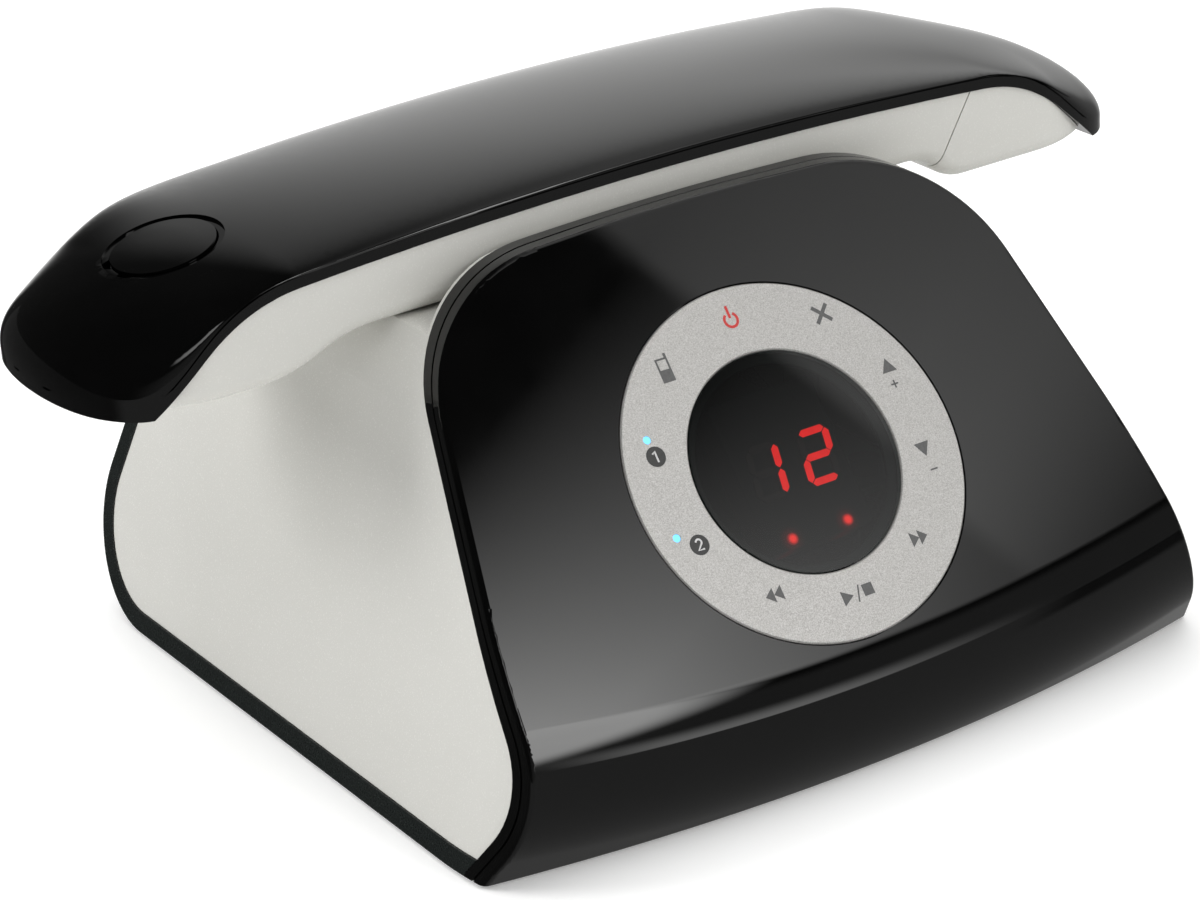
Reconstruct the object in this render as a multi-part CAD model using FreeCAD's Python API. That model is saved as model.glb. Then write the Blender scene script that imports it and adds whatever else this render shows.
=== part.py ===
import FreeCAD, Part
import math
import os

# Cordless telephone base with a built-in answering machine, and its handset lying in the cradle.
# Millimetres. The origin is on the table under the middle of the base: X runs along the handset,
# -Y is the sloping front panel, Z is up.

V = FreeCAD.Vector
X_AXIS = V(1, 0, 0)
Y_AXIS = V(0, 1, 0)
Z_AXIS = V(0, 0, 1)
FAR = 200.0                      # reach of a cutting form, past every outside face

# ---- Base: outside form ----
foot_width = 155.6               # across the side walls at their lower edge
side_lean = 14.5                 # degrees that the side walls lean in
shell_bottom = 0.8               # underside of the casing above the table
panel_lean = 39.44               # degrees that the front panel leans back
ring_height = 50.2               # centre of the touch ring above the table
ring_y = -49.9                   # centre of the touch ring, front to back
panel_rise = 50.3                # ring centre to the top edge, along the panel
panel_corner = 32.0              # radius of the two upper corners of the panel
panel_top_fall = 2.0             # the top edge falls this much from its middle to the corners
panel_top_radius = 510.0         # crown of the top edge
toe_y = -72.2                    # front of the underside on the centre line
toe_bow_radius = 380.0           # bow of the nose, seen from above
side_bow_start = -51.5           # the side walls curve inwards in front of this y
side_bow_radius = 90.0
undercut_lean = 33.0             # degrees that the face below the nose leans out
nose_radius = 19.5
inner_nose_radius = 1.2          # least rounding of the nose on inside faces
heel_y = 84.0                    # where the line of the back face meets the underside
back_lean = 19.3                 # degrees that the back face leans forward
heel_radius = 20.0
edge_round = 1.2                 # rounding of the front cover's rim

# ---- Base: walls and seams ----
cover_depth = 4.3                # front cover, from its face to its rear seam
cover_wall = 2.2
rim_groove = (2.1, 0.35, 0.3)    # fine groove round the cover: place behind the face, width, depth
tray_height = 3.6                # bottom cover, from the underside to its upper seam
tray_wall = 2.4
tray_back_top = 76.3             # top of the bottom cover's back wall
housing_wall = 2.2
reveal = 0.3                     # the pale walls step in from the black ones
liner = 0.8                      # thickness of the pale liner that stands up behind the front cover
seam_gap = 0.1                   # between fixed pieces
fit_gap = 0.05                   # round a pin, pipe or screw in its hole
bond_gap = 0.02                  # behind a piece that is bonded in its seat
cradle_floor = 2.4
cradle_back = 84.8               # top of the ridge behind the handset
cradle_side_gap = 1.0            # between the handset and the cradle's front and back walls
key_pocket = 2.4                 # depth of the hollow in the cradle floor below the keys
pocket_corner = 4.0

# ---- Touch ring and display ----
ring_radius = 33.0
ring_inner = 20.5
ring_thickness = 1.5
ring_proud = 0.15
ring_bevel = 0.25
ring_gap = 0.3
window_thickness = 1.4
window_gap = 0.25
window_ledge = 2.0               # width of the ledge that carries the window
digit_height = 10.16             # 0.4 inch seven-segment digits
digit_width = 5.5
digit_pitch = 10.95
digit_slant = 8.5                # degrees
digit_offset = 5.85              # centre of the units digit from the ring's centre
segment_width = 1.25
segment_gap = 0.25               # clear strip between two bars of a digit
segment_thickness = 0.3
module_size = (22.0, 28.0, 6.0)  # display module: width, height, depth
module_corner = 1.0
status_light = (5.9, -12.4)      # beside the centre line, and along the panel
status_radius = 1.1
cell_lights_at = ((-25.6, 11.6), (-28.0, -6.0))
cell_light_radius = 0.7
touch_board_thickness = 1.2

# ---- Base: inside and underneath ----
screw_at = (16.8, -35.5, 32.5)   # in from the side of the foot, y front, y back
screw_radius = 1.5
screw_head = (3.0, 1.55)         # radius and height
screw_sink = 1.0                 # depth of the hollow for the head in the bottom cover
screw_length = 16.0
boss_radius = 3.6
boss_top = 46.0
foot_at = (17.8, -51.5, 47.0)    # in from the side of the foot, y front, y back
foot_radius = 6.0
foot_sink = 0.7                  # the pads sit this deep in the bottom cover
board_size = (92.0, 92.0, 1.6)   # main board
board_height = 24.0
board_y = 21.5
board_edge = 6.0                 # posts, microphone and aerial stand in from the board's edges by this
post_radius = 3.0
post_root = 0.5                  # the posts run into the tray's floor by this
speaker_radius = 25.0
speaker_rim = (3.0, 3.0)         # width and height
speaker_basket = 4.0             # depth of the cone behind the rim
speaker_magnet = (12.0, 8.0)     # radius and depth
speaker_y = 6.5
grille_slots = 7
grille_pitch = 5.5
grille_slot = 2.2
grille_edge = 5.0                # the slots end inside the speaker by this
line_jack_size = (13.0, 17.0, 12.0)
line_jack_x = -20.0
line_socket = (9.8, 12.0, 6.8)   # width, depth and height of the plug's space
line_socket_sill = 3.6           # jack's underside to the plug's space
line_latch = (3.4, 2.2)          # width and height of the slot for the plug's latch
power_jack_size = (9.0, 17.0, 11.0)
power_jack_x = 12.0
power_bore = 3.1
power_depth = 10.0
power_pin = (1.0, 1.0)           # radius, and how far its tip lies inside the mouth
jack_gap = 0.25
jack_end = 71.1                  # y of the jacks' mouths
microphone_radius = 3.0
microphone_length = 2.7
microphone_x = 38.0
aerial_size = (22.0, 1.2, 9.0)
aerial_flag = 7.2                # width of its folded top
aerial_x = 30.0
contact_at = (8.9, 10.0)         # in from the cradle's side edge, and y either side of the handset's middle
contact_radius = 1.7
contact_tip = 0.5                # bevel of the pin's tip
contact_clearance = 0.15         # from the pin's tip up to the pad
contact_collar = (0.9, 1.2)      # how far the collar stands out from the pin, and its height
contact_tail = 4.0               # pin below the top of its collar
contact_gap = 0.15
contact_holder_size = (8.0, 29.0, 8.0)
contact_holder_floor = 1.2

# ---- Handset: outside form ----
handset_overhang = 33.4          # each end stands out past the foot of the base by this
handset_width = 54.6
handset_y = 15.4                 # middle of the handset, front to back
handset_top = 99.9
arch_radius = 549.0              # arch of the back, end to end
end_height = 76.0                # where the back's end roll runs out
plan_power = 20                  # squareness of the plan: width falls with (x / half length) to this power
roll_power = (14, 8)             # the same for the back rolling down at the left and the right end
outside_steps = 11               # sections of the outer form, either side of the middle
inside_steps = 7
end_share = 0.9998               # the flat end lies at this share of the half length
parting_top = 93.2               # seam between black and pale on the centre line
parting_radius = 1000.0
parting_turn = 38.2              # in from the handset's end, where the seam turns down
parting_bend = 30.0              # radius of that turn
parting_slope = 42.0             # degrees, down to the end
lip_height = 2.0                 # straight lip below the domed part
lip_groove = 0.4
lip_bend = 8.0                   # radius where the lip levels out to run round the ends
spring_drop = 0.5                # the dome springs this much below the end of its back
spring_blend = 3.0               # softness of the turn where its foot levels out
grip_bottom = 79.4               # underside between the cups
cup_bottom = 73.9
left_cup = (30.2, 0.5)           # its slope: in from the handset's end, in from the cradle's side edge
right_cup = (41.7, 1.5)
face_step = 0.6                  # the pale face steps in from the lip
face_corner = 24.0               # its corners, seen from below
face_edge = 3.2                  # rounding of the underside's edges
handset_wall = 1.8
seat_gap = 0.3                   # clear space below the handset in its cradle

# ---- Handset: pieces ----
back_key_in = 27.3               # in from the left end
back_key_radius = 9.4
back_key_gap = 0.3
back_key_cap = 2.6               # depth of the round cap above its flange
back_key_flange = (1.2, 0.3)     # how far the flange stands out, and its gap below the skin
back_key_groove = (1.5, 0.8)     # width and depth of the groove round the key
back_key_travel = 0.8
back_key_depth = 3.6             # from the back's surface to the underside of the key's flange
switch_radius = 2.2
switch_height = 2.2
switch_board = (4.0, 1.0)        # half the width of its board, and its thickness
switch_post_y = 13.0             # posts either side of the key
switch_post_radius = 1.6
cover_seam = (45.9, 82.3)        # a point of the battery cover's seam: in from the right end, height
cover_seam_lean = 31.0           # degrees from upright
cover_gap = 0.15
battery_size = (30.0, 21.0, 9.5)
battery_in = 28.7                # middle of the cells, in from the right end
cell_gap = 0.2
contact_leaf = (0.6, 6.0, 1.5)   # thickness, width, and how far it ends inside the cells' height
tray_skin = 1.0
tray_wrap = 7.6                  # depth of the tray's sides
handset_board_size = (126.0, 32.0, 1.2)
handset_board_x = -8.0
membrane_size = (66.0, 38.0, 1.2)
membrane_x = 10.5
key_travel = 0.8
key_proud = 0.8
key_flange = 0.8
key_flange_width = 0.7
key_gap = 0.25
digit_key = (7.4, 9.6)           # along X and along Y
digit_rows = (6.0, 10.0)         # x of the first row, and the row pitch
digit_column_pitch = 13.0
side_keys_x = (-15.5, -4.5)
side_key = (7.4, 9.0)
side_key_y = 14.0
key_round = 2.0                  # corners of the keys, the lens and the membrane
navigator_radius = 5.6
navigator_x = -10.5
lens_size = (24.0, 34.0, 1.2)
lens_x = -36.0
lens_gap = 0.2
lens_ledge = 1.5                 # width of the ledge that carries the lens
lcd_size = (27.0, 36.0, 2.6)
receiver_radius = 12.0
receiver_thickness = 5.0
receiver_in = 19.2               # in from the left end
receiver_holes = 6
receiver_hole = 1.2
receiver_circle = 5.0
mouthpiece_in = 7.5              # in from the cradle's side edge
mouthpiece_hole = 0.8
microphone_capsule = (2.0, 2.2)  # radius and height
pad_size = (7.0, 5.0, 0.6)
pad_gap = 0.1
handset_screw_at = (7.5, 20.0)   # in from the cradle's side edge, and y either side of the handset's middle
handset_screw = (1.0, 9.0)       # shank radius, and how deep it reaches above the underside
handset_screw_head = (2.0, 0.9, 0.95)  # radius, height, and how deep its seat lies
handset_screw_gap = 0.2
handset_boss_radius = 2.6


# ---- Working values ----
def tan(degrees):
    return math.tan(math.radians(degrees))


def sin(degrees):
    return math.sin(math.radians(degrees))


def cos(degrees):
    return math.cos(math.radians(degrees))


def side_wall_half(height):
    """Half the width of the base at a height above the table."""
    return foot_width / 2 - (height - shell_bottom) * tan(side_lean)


panel_up = V(0, sin(panel_lean), cos(panel_lean))
panel_out = V(0, -cos(panel_lean), sin(panel_lean))
ring_centre = V(0, ring_y, ring_height)
cradle_top = grip_bottom - seat_gap
cradle_half = side_wall_half(grip_bottom)
contact_x = cradle_half - contact_at[0]
handset_length = foot_width + 2 * handset_overhang
handset_half = handset_length / 2
width_half = handset_width / 2
back_key_x = back_key_in - handset_half
receiver_x = receiver_in - handset_half
mouthpiece_x = cradle_half - mouthpiece_in
handset_screw_x = cradle_half - handset_screw_at[0]
battery_x = handset_half - battery_in


# ---- Helpers ----
def rounded_wire(corners, place):
    """Closed wire through (u, v, radius) corners with an arc at each; place(u, v) gives the point."""
    flat = [V(u, v, 0) for u, v, radius in corners]
    edges = []
    starts = []
    ends = []
    arcs = []
    for i, corner in enumerate(flat):
        radius = corners[i][2]
        to_last = (flat[i - 1] - corner).normalize()
        to_next = (flat[(i + 1) % len(flat)] - corner).normalize()
        if radius <= 0:
            starts.append(corner)
            ends.append(corner)
            arcs.append(None)
            continue
        half = to_last.getAngle(to_next) / 2
        inward = (to_last + to_next).normalize()
        starts.append(corner + to_last * (radius / math.tan(half)))
        ends.append(corner + to_next * (radius / math.tan(half)))
        arcs.append(corner + inward * (radius / math.sin(half) - radius))
    for i, middle in enumerate(arcs):
        begin = place(ends[i - 1].x, ends[i - 1].y)
        start = place(starts[i].x, starts[i].y)
        if begin.distanceToPoint(start) > 1e-4:
            edges.append(Part.LineSegment(begin, start).toShape())
        if middle:
            end = place(ends[i].x, ends[i].y)
            edges.append(Part.Arc(start, place(middle.x, middle.y), end).toShape())
    return Part.Wire(edges)


def at_x(x):
    return lambda y, z: V(x, y, z)


def at_y(y):
    return lambda x, z: V(x, y, z)


def at_z(z):
    return lambda x, y: V(x, y, z)


def on_panel(x, up, depth=0.0):
    """Point at x and up along the panel from the ring's centre, and depth behind its face."""
    return ring_centre + X_AXIS * x + panel_up * up - panel_out * depth


def prism(wire, way):
    return Part.Face(wire).extrude(way)


def box(low, high):
    size = [high[i] - low[i] for i in range(3)]
    return Part.makeBox(size[0], size[1], size[2], V(*low))


def block(centre_x, centre_y, low_z, size):
    """Upright box of the given size, centred in X and Y, standing on low_z."""
    low = V(centre_x - size[0] / 2, centre_y - size[1] / 2, low_z)
    return Part.makeBox(size[0], size[1], size[2], low)


def post(x, y, low, high, radius):
    return Part.makeCylinder(radius, high - low, V(x, y, low), Z_AXIS)


def panel_disc(x, up, radius, front, back):
    """Round piece square to the panel, between two depths behind its face."""
    return Part.makeCylinder(radius, back - front, on_panel(x, up, front), panel_out * -1)


def round_rect(length, width, radius):
    """Corners of a rectangle about the origin, all with one radius."""
    return [(u * length / 2, v * width / 2, radius) for u, v in ((-1, -1), (1, -1), (1, 1), (-1, 1))]


def soft_block(x, y, low, high, size, radius):
    """Upright block with rounded corners, seen from above."""
    corners = [(u + x, v + y, r) for u, v, r in round_rect(size[0], size[1], radius)]
    return prism(rounded_wire(corners, at_z(low)), V(0, 0, high - low))


def edges_near(shape, test):
    return [edge for edge in shape.Edges if test(edge.CenterOfMass, edge)]


# ---- Base: forms shared by its pieces ----
def outline_form(inset):
    """The base seen from the front: leaning sides and a crowned top with large corners."""
    low = -ring_height / cos(panel_lean) - 12
    shoulder = panel_rise - panel_top_fall - inset

    def half(up):
        slope = tan(side_lean) * cos(panel_lean)
        return side_wall_half(ring_height + up * cos(panel_lean)) - inset * math.hypot(1, slope)

    crown = panel_rise - inset + panel_top_radius * (1 / cos(panel_top_fall) - 1)
    corners = [
        (-half(low), low, 0),
        (half(low), low, 0),
        (half(shoulder), shoulder, panel_corner - inset),
        (0, crown, panel_top_radius),
        (-half(shoulder), shoulder, panel_corner - inset),
    ]
    wire = rounded_wire(corners, lambda x, up: on_panel(x, up) - Y_AXIS * FAR)
    form = prism(wire, Y_AXIS * (3 * FAR))
    side = bowed_side(inset)
    return form.common(side).common(side.mirror(V(0, 0, 0), X_AXIS))


def bowed_side(inset):
    """All that lies inside the right side wall, which curves inwards towards the nose."""
    half = side_wall_half(0) - inset / cos(side_lean) + 0.02
    radius = side_bow_radius - inset
    turn = 45.0
    start = V(half, side_bow_start, 0)
    centre = start - X_AXIS * radius
    middle = centre + V(cos(turn / 2), -sin(turn / 2), 0) * radius
    end = centre + V(cos(turn), -sin(turn), 0) * radius
    loop = [end, V(-FAR, end.y, 0), V(-FAR, FAR, 0), V(half, FAR, 0), start]
    edges = [Part.LineSegment(a, b).toShape() for a, b in zip(loop, loop[1:])]
    edges.append(Part.Arc(start, middle, end).toShape())
    return prism(Part.Wire(edges), V(-tan(side_lean), 0, 1) * FAR)


def front_form(depth):
    """All that lies behind the panel and the undercut face below the nose, both set back by depth."""
    low = on_panel(0, -FAR / 2, depth)
    high = on_panel(0, FAR, depth)
    slab = [(low.y, low.z, 0), (high.y, high.z, 0), (FAR * 2, high.z, 0), (FAR * 2, low.z, 0)]
    behind_panel = prism(rounded_wire(slab, at_x(-FAR)), X_AXIS * (2 * FAR))
    radius = toe_bow_radius - depth / cos(undercut_lean)
    below = 10
    start = shell_bottom - below
    centre = V(0, toe_y + toe_bow_radius + below * tan(undercut_lean), start)
    reach = foot_width / 2 + 30
    setback = math.sqrt(radius ** 2 - reach ** 2)
    left = centre + V(-reach, -setback, 0)
    right = centre + V(reach, -setback, 0)
    bow = Part.Arc(left, centre - Y_AXIS * radius, right).toShape()
    back = [left, V(-reach, 2 * FAR, start), V(reach, 2 * FAR, start), right]
    rest = [Part.LineSegment(a, b).toShape() for a, b in zip(back, back[1:])]
    toe = prism(Part.Wire([bow] + rest), V(0, -tan(undercut_lean), 1) * (handset_top + 2 * below))
    form = behind_panel.common(toe)

    def on_nose(middle, edge):
        point = edge.valueAt((edge.FirstParameter + edge.LastParameter) / 2)
        on_toe = shell_bottom < point.z < ring_height and point.y < toe_y + depth
        return abs(point.x) < 1 and edge.Length > reach and on_toe

    return form.makeFillet(max(nose_radius - depth, inner_nose_radius), edges_near(form, on_nose))


def tray_form(depth):
    """All that lies above the underside and in front of the back face, both moved in by depth."""
    low = shell_bottom + depth
    heel = heel_y - depth / cos(back_lean) - depth * tan(back_lean)
    rise = 2 * ring_height + panel_rise
    corners = [
        (-FAR, low, 0),
        (heel, low, heel_radius - depth),
        (heel - rise * tan(back_lean), low + rise, 0),
        (-FAR, low + rise, 0),
    ]
    return prism(rounded_wire(corners, at_x(-FAR)), X_AXIS * (2 * FAR))


def handset_channel(grow):
    """The trough that the handset lies in, made larger all round by grow."""
    front = handset_y - width_half - cradle_side_gap - grow
    back = handset_y + width_half + cradle_side_gap + grow
    low = cradle_top - grow
    corners = [(front, low, face_edge + grow), (back, low, face_edge + grow), (back, FAR, 0), (front, FAR, 0)]
    return prism(rounded_wire(corners, at_x(-FAR)), X_AXIS * (2 * FAR))


# ---- Base: casing ----
def front_cover():
    """Black front: panel, nose and rim, with the seat for the touch ring and the display hole."""
    body = outline_form(0).common(front_form(0)).common(tray_form(0))
    body = body.cut(front_form(cover_depth))
    inside = front_form(edge_round / 4)

    def on_rim(middle, edge):
        point = edge.valueAt((edge.FirstParameter + edge.LastParameter) / 2)
        on_front = not inside.isInside(point, 1e-4, True)
        return on_front and edge.Length > edge_round and abs(point.x) > 1 and point.z > shell_bottom + 0.1

    def on_top(middle, edge):
        return middle.z > ring_height and (middle - ring_centre).dot(panel_out) > -0.05

    rim = edges_near(body, lambda middle, edge: on_rim(middle, edge) or on_top(middle, edge))
    body = body.makeFillet(edge_round, rim)
    hollow = outline_form(cover_wall).common(front_form(cover_wall)).common(tray_form(cover_wall))
    body = body.cut(hollow).cut(handset_channel(0))
    place, width, depth = rim_groove
    groove = front_form(place).cut(front_form(place + width)).cut(outline_form(depth))
    body = body.cut(groove)
    seat = panel_disc(0, 0, ring_radius + ring_gap, -FAR, ring_thickness - ring_proud)
    hole = panel_disc(0, 0, ring_inner - window_ledge, -FAR, 2 * cover_depth)
    for x, up in cell_lights_at:
        body = body.cut(panel_disc(x, up, cell_light_radius + fit_gap, -FAR, 2 * cover_depth))
    return body.cut(seat).cut(hole)


def base_housing():
    """Pale middle of the casing: leaning side walls, the deck with the handset's trough, a ridge behind
    it, a liner that stands up behind the front cover, and four screw bosses."""
    front = cover_depth + seam_gap
    outside = outline_form(reveal).common(front_form(front))
    walls = outside.common(tray_form(tray_height + seam_gap))
    above_tray = box((-FAR, -FAR, tray_back_top + seam_gap), (FAR, FAR, cradle_back))
    body = walls.common(box((-FAR, -FAR, 0), (FAR, FAR, cradle_back)))
    body = body.fuse(outside.common(tray_form(seam_gap)).common(above_tray))
    body = body.cut(box((-FAR, -FAR, cradle_top), (FAR, handset_y, FAR)))
    above_deck = box((-FAR, -FAR, cradle_top - liner), (FAR, FAR, FAR))
    body = body.fuse(outside.cut(front_form(front + liner)).common(above_deck))
    body = body.cut(handset_channel(0))
    ridge = handset_y + width_half + cradle_side_gap + housing_wall
    inside = outline_form(reveal + housing_wall).common(tray_form(tray_height - 1))
    body = body.cut(inside.common(box((-FAR, -FAR, 0), (FAR, FAR, cradle_top - cradle_floor))))
    body = body.cut(inside.common(box((-FAR, ridge, 0), (FAR, FAR, cradle_back - housing_wall))))
    x, size = key_pocket_place()
    floor = cradle_top - key_pocket
    body = body.fuse(soft_block(x, handset_y, floor - cradle_floor, cradle_top, size, pocket_corner))
    hollow = (size[0] - 2 * housing_wall, size[1] - 2 * housing_wall)
    body = body.cut(soft_block(x, handset_y, floor, FAR, hollow, pocket_corner - housing_wall / 2))
    for y in contact_places():
        body = body.cut(post(contact_x, y, 0, FAR, contact_radius + contact_gap))
    low = shell_bottom + tray_wall + seam_gap
    for x, y in screw_places():
        boss = post(x, y, low, boss_top, boss_radius).common(outline_form(reveal + housing_wall / 2))
        body = body.fuse(boss)
    for x, y in screw_places():
        body = body.cut(post(x, y, 0, shell_bottom + screw_length + 2, screw_radius + fit_gap))
    return body.removeSplitter()


def bottom_cover():
    """Black tray that closes the underside and runs up the back, with the speaker grille and sockets."""
    body = outline_form(0).common(front_form(cover_depth + seam_gap)).common(tray_form(0))
    body = body.common(box((-FAR, -FAR, 0), (FAR, FAR, tray_back_top)))
    body = body.cut(tray_form(tray_height))
    rim = outline_form(cover_wall).common(tray_form(tray_wall)).common(front_form(cover_depth + cover_wall))
    body = body.cut(rim)
    top = shell_bottom + tray_wall
    for x, y in board_posts():
        body = body.fuse(post(x, y, top - post_root, board_height - seam_gap, post_radius))
    for x, y in screw_places():
        body = body.cut(post(x, y, -1, tray_height * 2, screw_radius + 4 * fit_gap))
        body = body.cut(post(x, y, -1, shell_bottom + screw_sink, screw_head[0] + 6 * fit_gap))
    for side, y in foot_places():
        body = body.cut(post(side, y, -1, shell_bottom + foot_sink, foot_radius + 3 * fit_gap))
    for slot in grille():
        body = body.cut(slot)
    for jack_x, size in ((line_jack_x, line_jack_size), (power_jack_x, power_jack_size)):
        low = board_height + board_size[2] - jack_gap
        hole = (size[0] + 2 * jack_gap, 40.0, size[2] + 3 * jack_gap)
        body = body.cut(block(jack_x, jack_end, low, hole))
    return body.removeSplitter()


def grille():
    """Parallel slots under the speaker, longer in the middle."""
    slots = []
    for i in range(grille_slots):
        offset = (i - (grille_slots - 1) / 2) * grille_pitch
        length = 2 * math.sqrt((speaker_radius - grille_edge) ** 2 - offset ** 2)
        size = (grille_slot, length)
        slots.append(soft_block(offset, speaker_y, -1, tray_height * 2, size, grille_slot / 2 - 0.01))
    return slots


def key_pocket_place():
    """Middle in X and outside size of the hollow that the handset's keys hang in."""
    left = side_keys_x[0] - side_key[0]
    right = digit_rows[0] + 3 * digit_rows[1] + digit_key[0]
    return (left + right) / 2, (right - left, handset_width - 2 * face_edge - 2)


# ---- Base: ring, window and lights ----
def touch_ring():
    """Silver ring over the touch sensor, with two pinholes for the blue lights."""
    outer = panel_disc(0, 0, ring_radius, -ring_proud, ring_thickness - ring_proud - bond_gap)
    ring = outer.cut(panel_disc(0, 0, ring_inner, -FAR, FAR))
    rims = edges_near(ring, lambda middle, edge: (middle - ring_centre).dot(panel_out) > ring_proud / 2)
    ring = ring.makeChamfer(ring_bevel, [edge for edge in rims if edge.Length > ring_radius])
    for x, up in cell_lights_at:
        ring = ring.cut(panel_disc(x, up, cell_light_radius + fit_gap, -FAR, FAR))
    return ring


def display_window():
    back = ring_thickness - ring_proud - bond_gap
    return panel_disc(0, 0, ring_inner - window_gap, back - window_thickness, back)


def display_module():
    """Block behind the window that carries the digits and the two status lights."""
    front = ring_thickness + segment_thickness + 2 * seam_gap
    width, height, depth = module_size
    wire = rounded_wire(round_rect(width, height, module_corner), lambda x, up: on_panel(x, up, front))
    return prism(wire, panel_out * -depth)


def digit(centre):
    """Seven slanted bars of one digit, as separate solids."""
    front = ring_thickness + seam_gap
    gap = segment_gap / math.sqrt(2)
    half_up = digit_height / 2 - segment_width / 2
    half_across = digit_width / 2
    bars = []

    def bar(x1, y1, x2, y2):
        along = V(x2 - x1, y2 - y1, 0).normalize()
        side = V(-along.y, along.x, 0) * (segment_width / 2)
        a = V(x1, y1, 0) + along * gap
        b = V(x2, y2, 0) - along * gap
        tip = segment_width / 2
        corners = [a, a + along * tip + side, b - along * tip + side, b,
                   b - along * tip - side, a + along * tip - side]
        points = [(centre + p.x + p.y * tan(digit_slant), p.y, 0) for p in corners]
        wire = rounded_wire(points, lambda x, up: on_panel(x, up, front))
        bars.append(prism(wire, panel_out * -segment_thickness))

    for level in (-half_up, 0, half_up):
        bar(-half_across, level, half_across, level)
    for side in (-half_across, half_across):
        bar(side, -half_up, side, 0)
        bar(side, 0, side, half_up)
    return Part.makeCompound(bars)


def status_lights():
    """Two round red lights below the digits."""
    x, up = status_light
    front = ring_thickness + seam_gap
    back = ring_thickness + segment_thickness + seam_gap
    return Part.makeCompound([panel_disc(side, up, status_radius, front, back) for side in (-x, x)])


def cell_lights():
    """Two blue light pipes that end flush in the ring."""
    back = cover_wall + seam_gap
    pipes = [panel_disc(x, up, cell_light_radius, -ring_proud / 2, back) for x, up in cell_lights_at]
    return Part.makeCompound(pipes)


def touch_board():
    """Ring-shaped sensor board behind the panel."""
    front = cover_wall + seam_gap
    disc = panel_disc(0, 0, ring_radius - 1, front, front + touch_board_thickness)
    hole = panel_disc(0, 0, ring_inner - 1, -FAR, FAR)
    return disc.cut(hole)


# ---- Base: inside and underneath ----
def board_posts():
    half_x = board_size[0] / 2 - board_edge
    half_y = board_size[1] / 2 - board_edge
    return [(u * half_x, board_y + v * half_y) for u in (-1, 1) for v in (-1, 1)]


def four_places(inset, front, back):
    """Points either side, in from the foot's sides by inset, at a front and a back y."""
    x = foot_width / 2 - inset
    return [(side, y) for side in (-x, x) for y in (front, back)]


def foot_places():
    return four_places(*foot_at)


def screw_places():
    return four_places(*screw_at)


def contact_places():
    return [handset_y - contact_at[1], handset_y + contact_at[1]]


def main_board():
    return block(0, board_y, board_height, board_size)


def base_speaker():
    """Round speaker that faces down through the grille."""
    low = shell_bottom + tray_wall + seam_gap
    rim_width, rim_height = speaker_rim
    magnet_radius, magnet_depth = speaker_magnet
    rim = post(0, speaker_y, low, low + rim_height, speaker_radius)
    start = V(0, speaker_y, low + rim_height)
    basket = Part.makeCone(speaker_radius - rim_width, magnet_radius, speaker_basket, start)
    top = start.z + speaker_basket
    magnet = post(0, speaker_y, top, top + magnet_depth, magnet_radius)
    return rim.fuse(basket).fuse(magnet).removeSplitter()


def on_board():
    """Height of what stands on the main board."""
    return board_height + board_size[2] + seam_gap


def base_microphone():
    """Capsule upright on the main board's front edge."""
    y = board_y - board_size[1] / 2 + board_edge
    return post(microphone_x, y, on_board(), on_board() + microphone_length, microphone_radius)


def aerial():
    """Folded metal strip at the back of the main board."""
    length, thickness, height = aerial_size
    y = board_y + board_size[1] / 2 - board_edge
    strip = block(aerial_x, y, on_board(), aerial_size)
    flag_y = y - (aerial_flag - thickness) / 2
    flag = block(aerial_x, flag_y, on_board() + height - thickness, (length, aerial_flag, thickness))
    return strip.fuse(flag).removeSplitter()


def line_jack():
    """Telephone line socket, with the slot for the plug's latch."""
    y = jack_end - line_jack_size[1] / 2
    body = block(line_jack_x, y, on_board(), line_jack_size)
    width, depth, height = line_socket
    socket_low = on_board() + line_socket_sill
    mouth = jack_end - depth / 2
    body = body.cut(block(line_jack_x, mouth, socket_low, (width, depth + 1, height)))
    latch_width, latch_height = line_latch
    return body.cut(block(line_jack_x, mouth, socket_low - latch_height, (latch_width, depth + 1, latch_height + 1)))


def power_jack():
    """Round power socket with its centre pin."""
    body = block(power_jack_x, jack_end - power_jack_size[1] / 2, on_board(), power_jack_size)
    centre = V(power_jack_x, jack_end, on_board() + power_jack_size[2] / 2)
    back = Y_AXIS * -1
    pin_radius, pin_inset = power_pin
    bore = Part.makeCylinder(power_bore, power_depth, centre, back)
    pin = Part.makeCylinder(pin_radius, power_depth, centre + back * pin_inset, back)
    return body.cut(bore).fuse(pin).removeSplitter()


def charge_contact(y):
    """Sprung pin that stands through the cradle floor, with a collar below it."""
    collar_width, collar_height = contact_collar
    collar_top = cradle_top - cradle_floor - seam_gap
    shank = post(contact_x, y, collar_top - contact_tail, grip_bottom - contact_clearance, contact_radius)
    tops = edges_near(shank, lambda middle, edge: middle.z > cradle_top)
    shank = shank.makeChamfer(contact_tip, tops)
    collar = post(contact_x, y, collar_top - collar_height, collar_top, contact_radius + collar_width)
    return shank.fuse(collar).removeSplitter()


def contact_holder():
    """Block under the cradle floor that guides the two contact pins."""
    top = cradle_top - cradle_floor - seam_gap
    low = top - contact_holder_size[2]
    body = block(contact_x, handset_y, low, contact_holder_size)
    bore = contact_radius + contact_collar[0] + 4 * fit_gap
    for y in contact_places():
        body = body.cut(post(contact_x, y, low + contact_holder_floor, top + 1, bore))
    return body


def base_screws():
    """Four screws that hold the bottom cover to the housing."""
    seat = shell_bottom + screw_sink - fit_gap
    head_radius, head_height = screw_head
    screws = []
    for x, y in screw_places():
        head = post(x, y, seat - head_height, seat, head_radius)
        shank = post(x, y, shell_bottom, shell_bottom + screw_length, screw_radius)
        screws.append(head.fuse(shank).removeSplitter())
    return Part.makeCompound(screws)


def rubber_feet():
    pads = [post(x, y, 0, shell_bottom + foot_sink - bond_gap, foot_radius) for x, y in foot_places()]
    return Part.makeCompound(pads)


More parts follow.
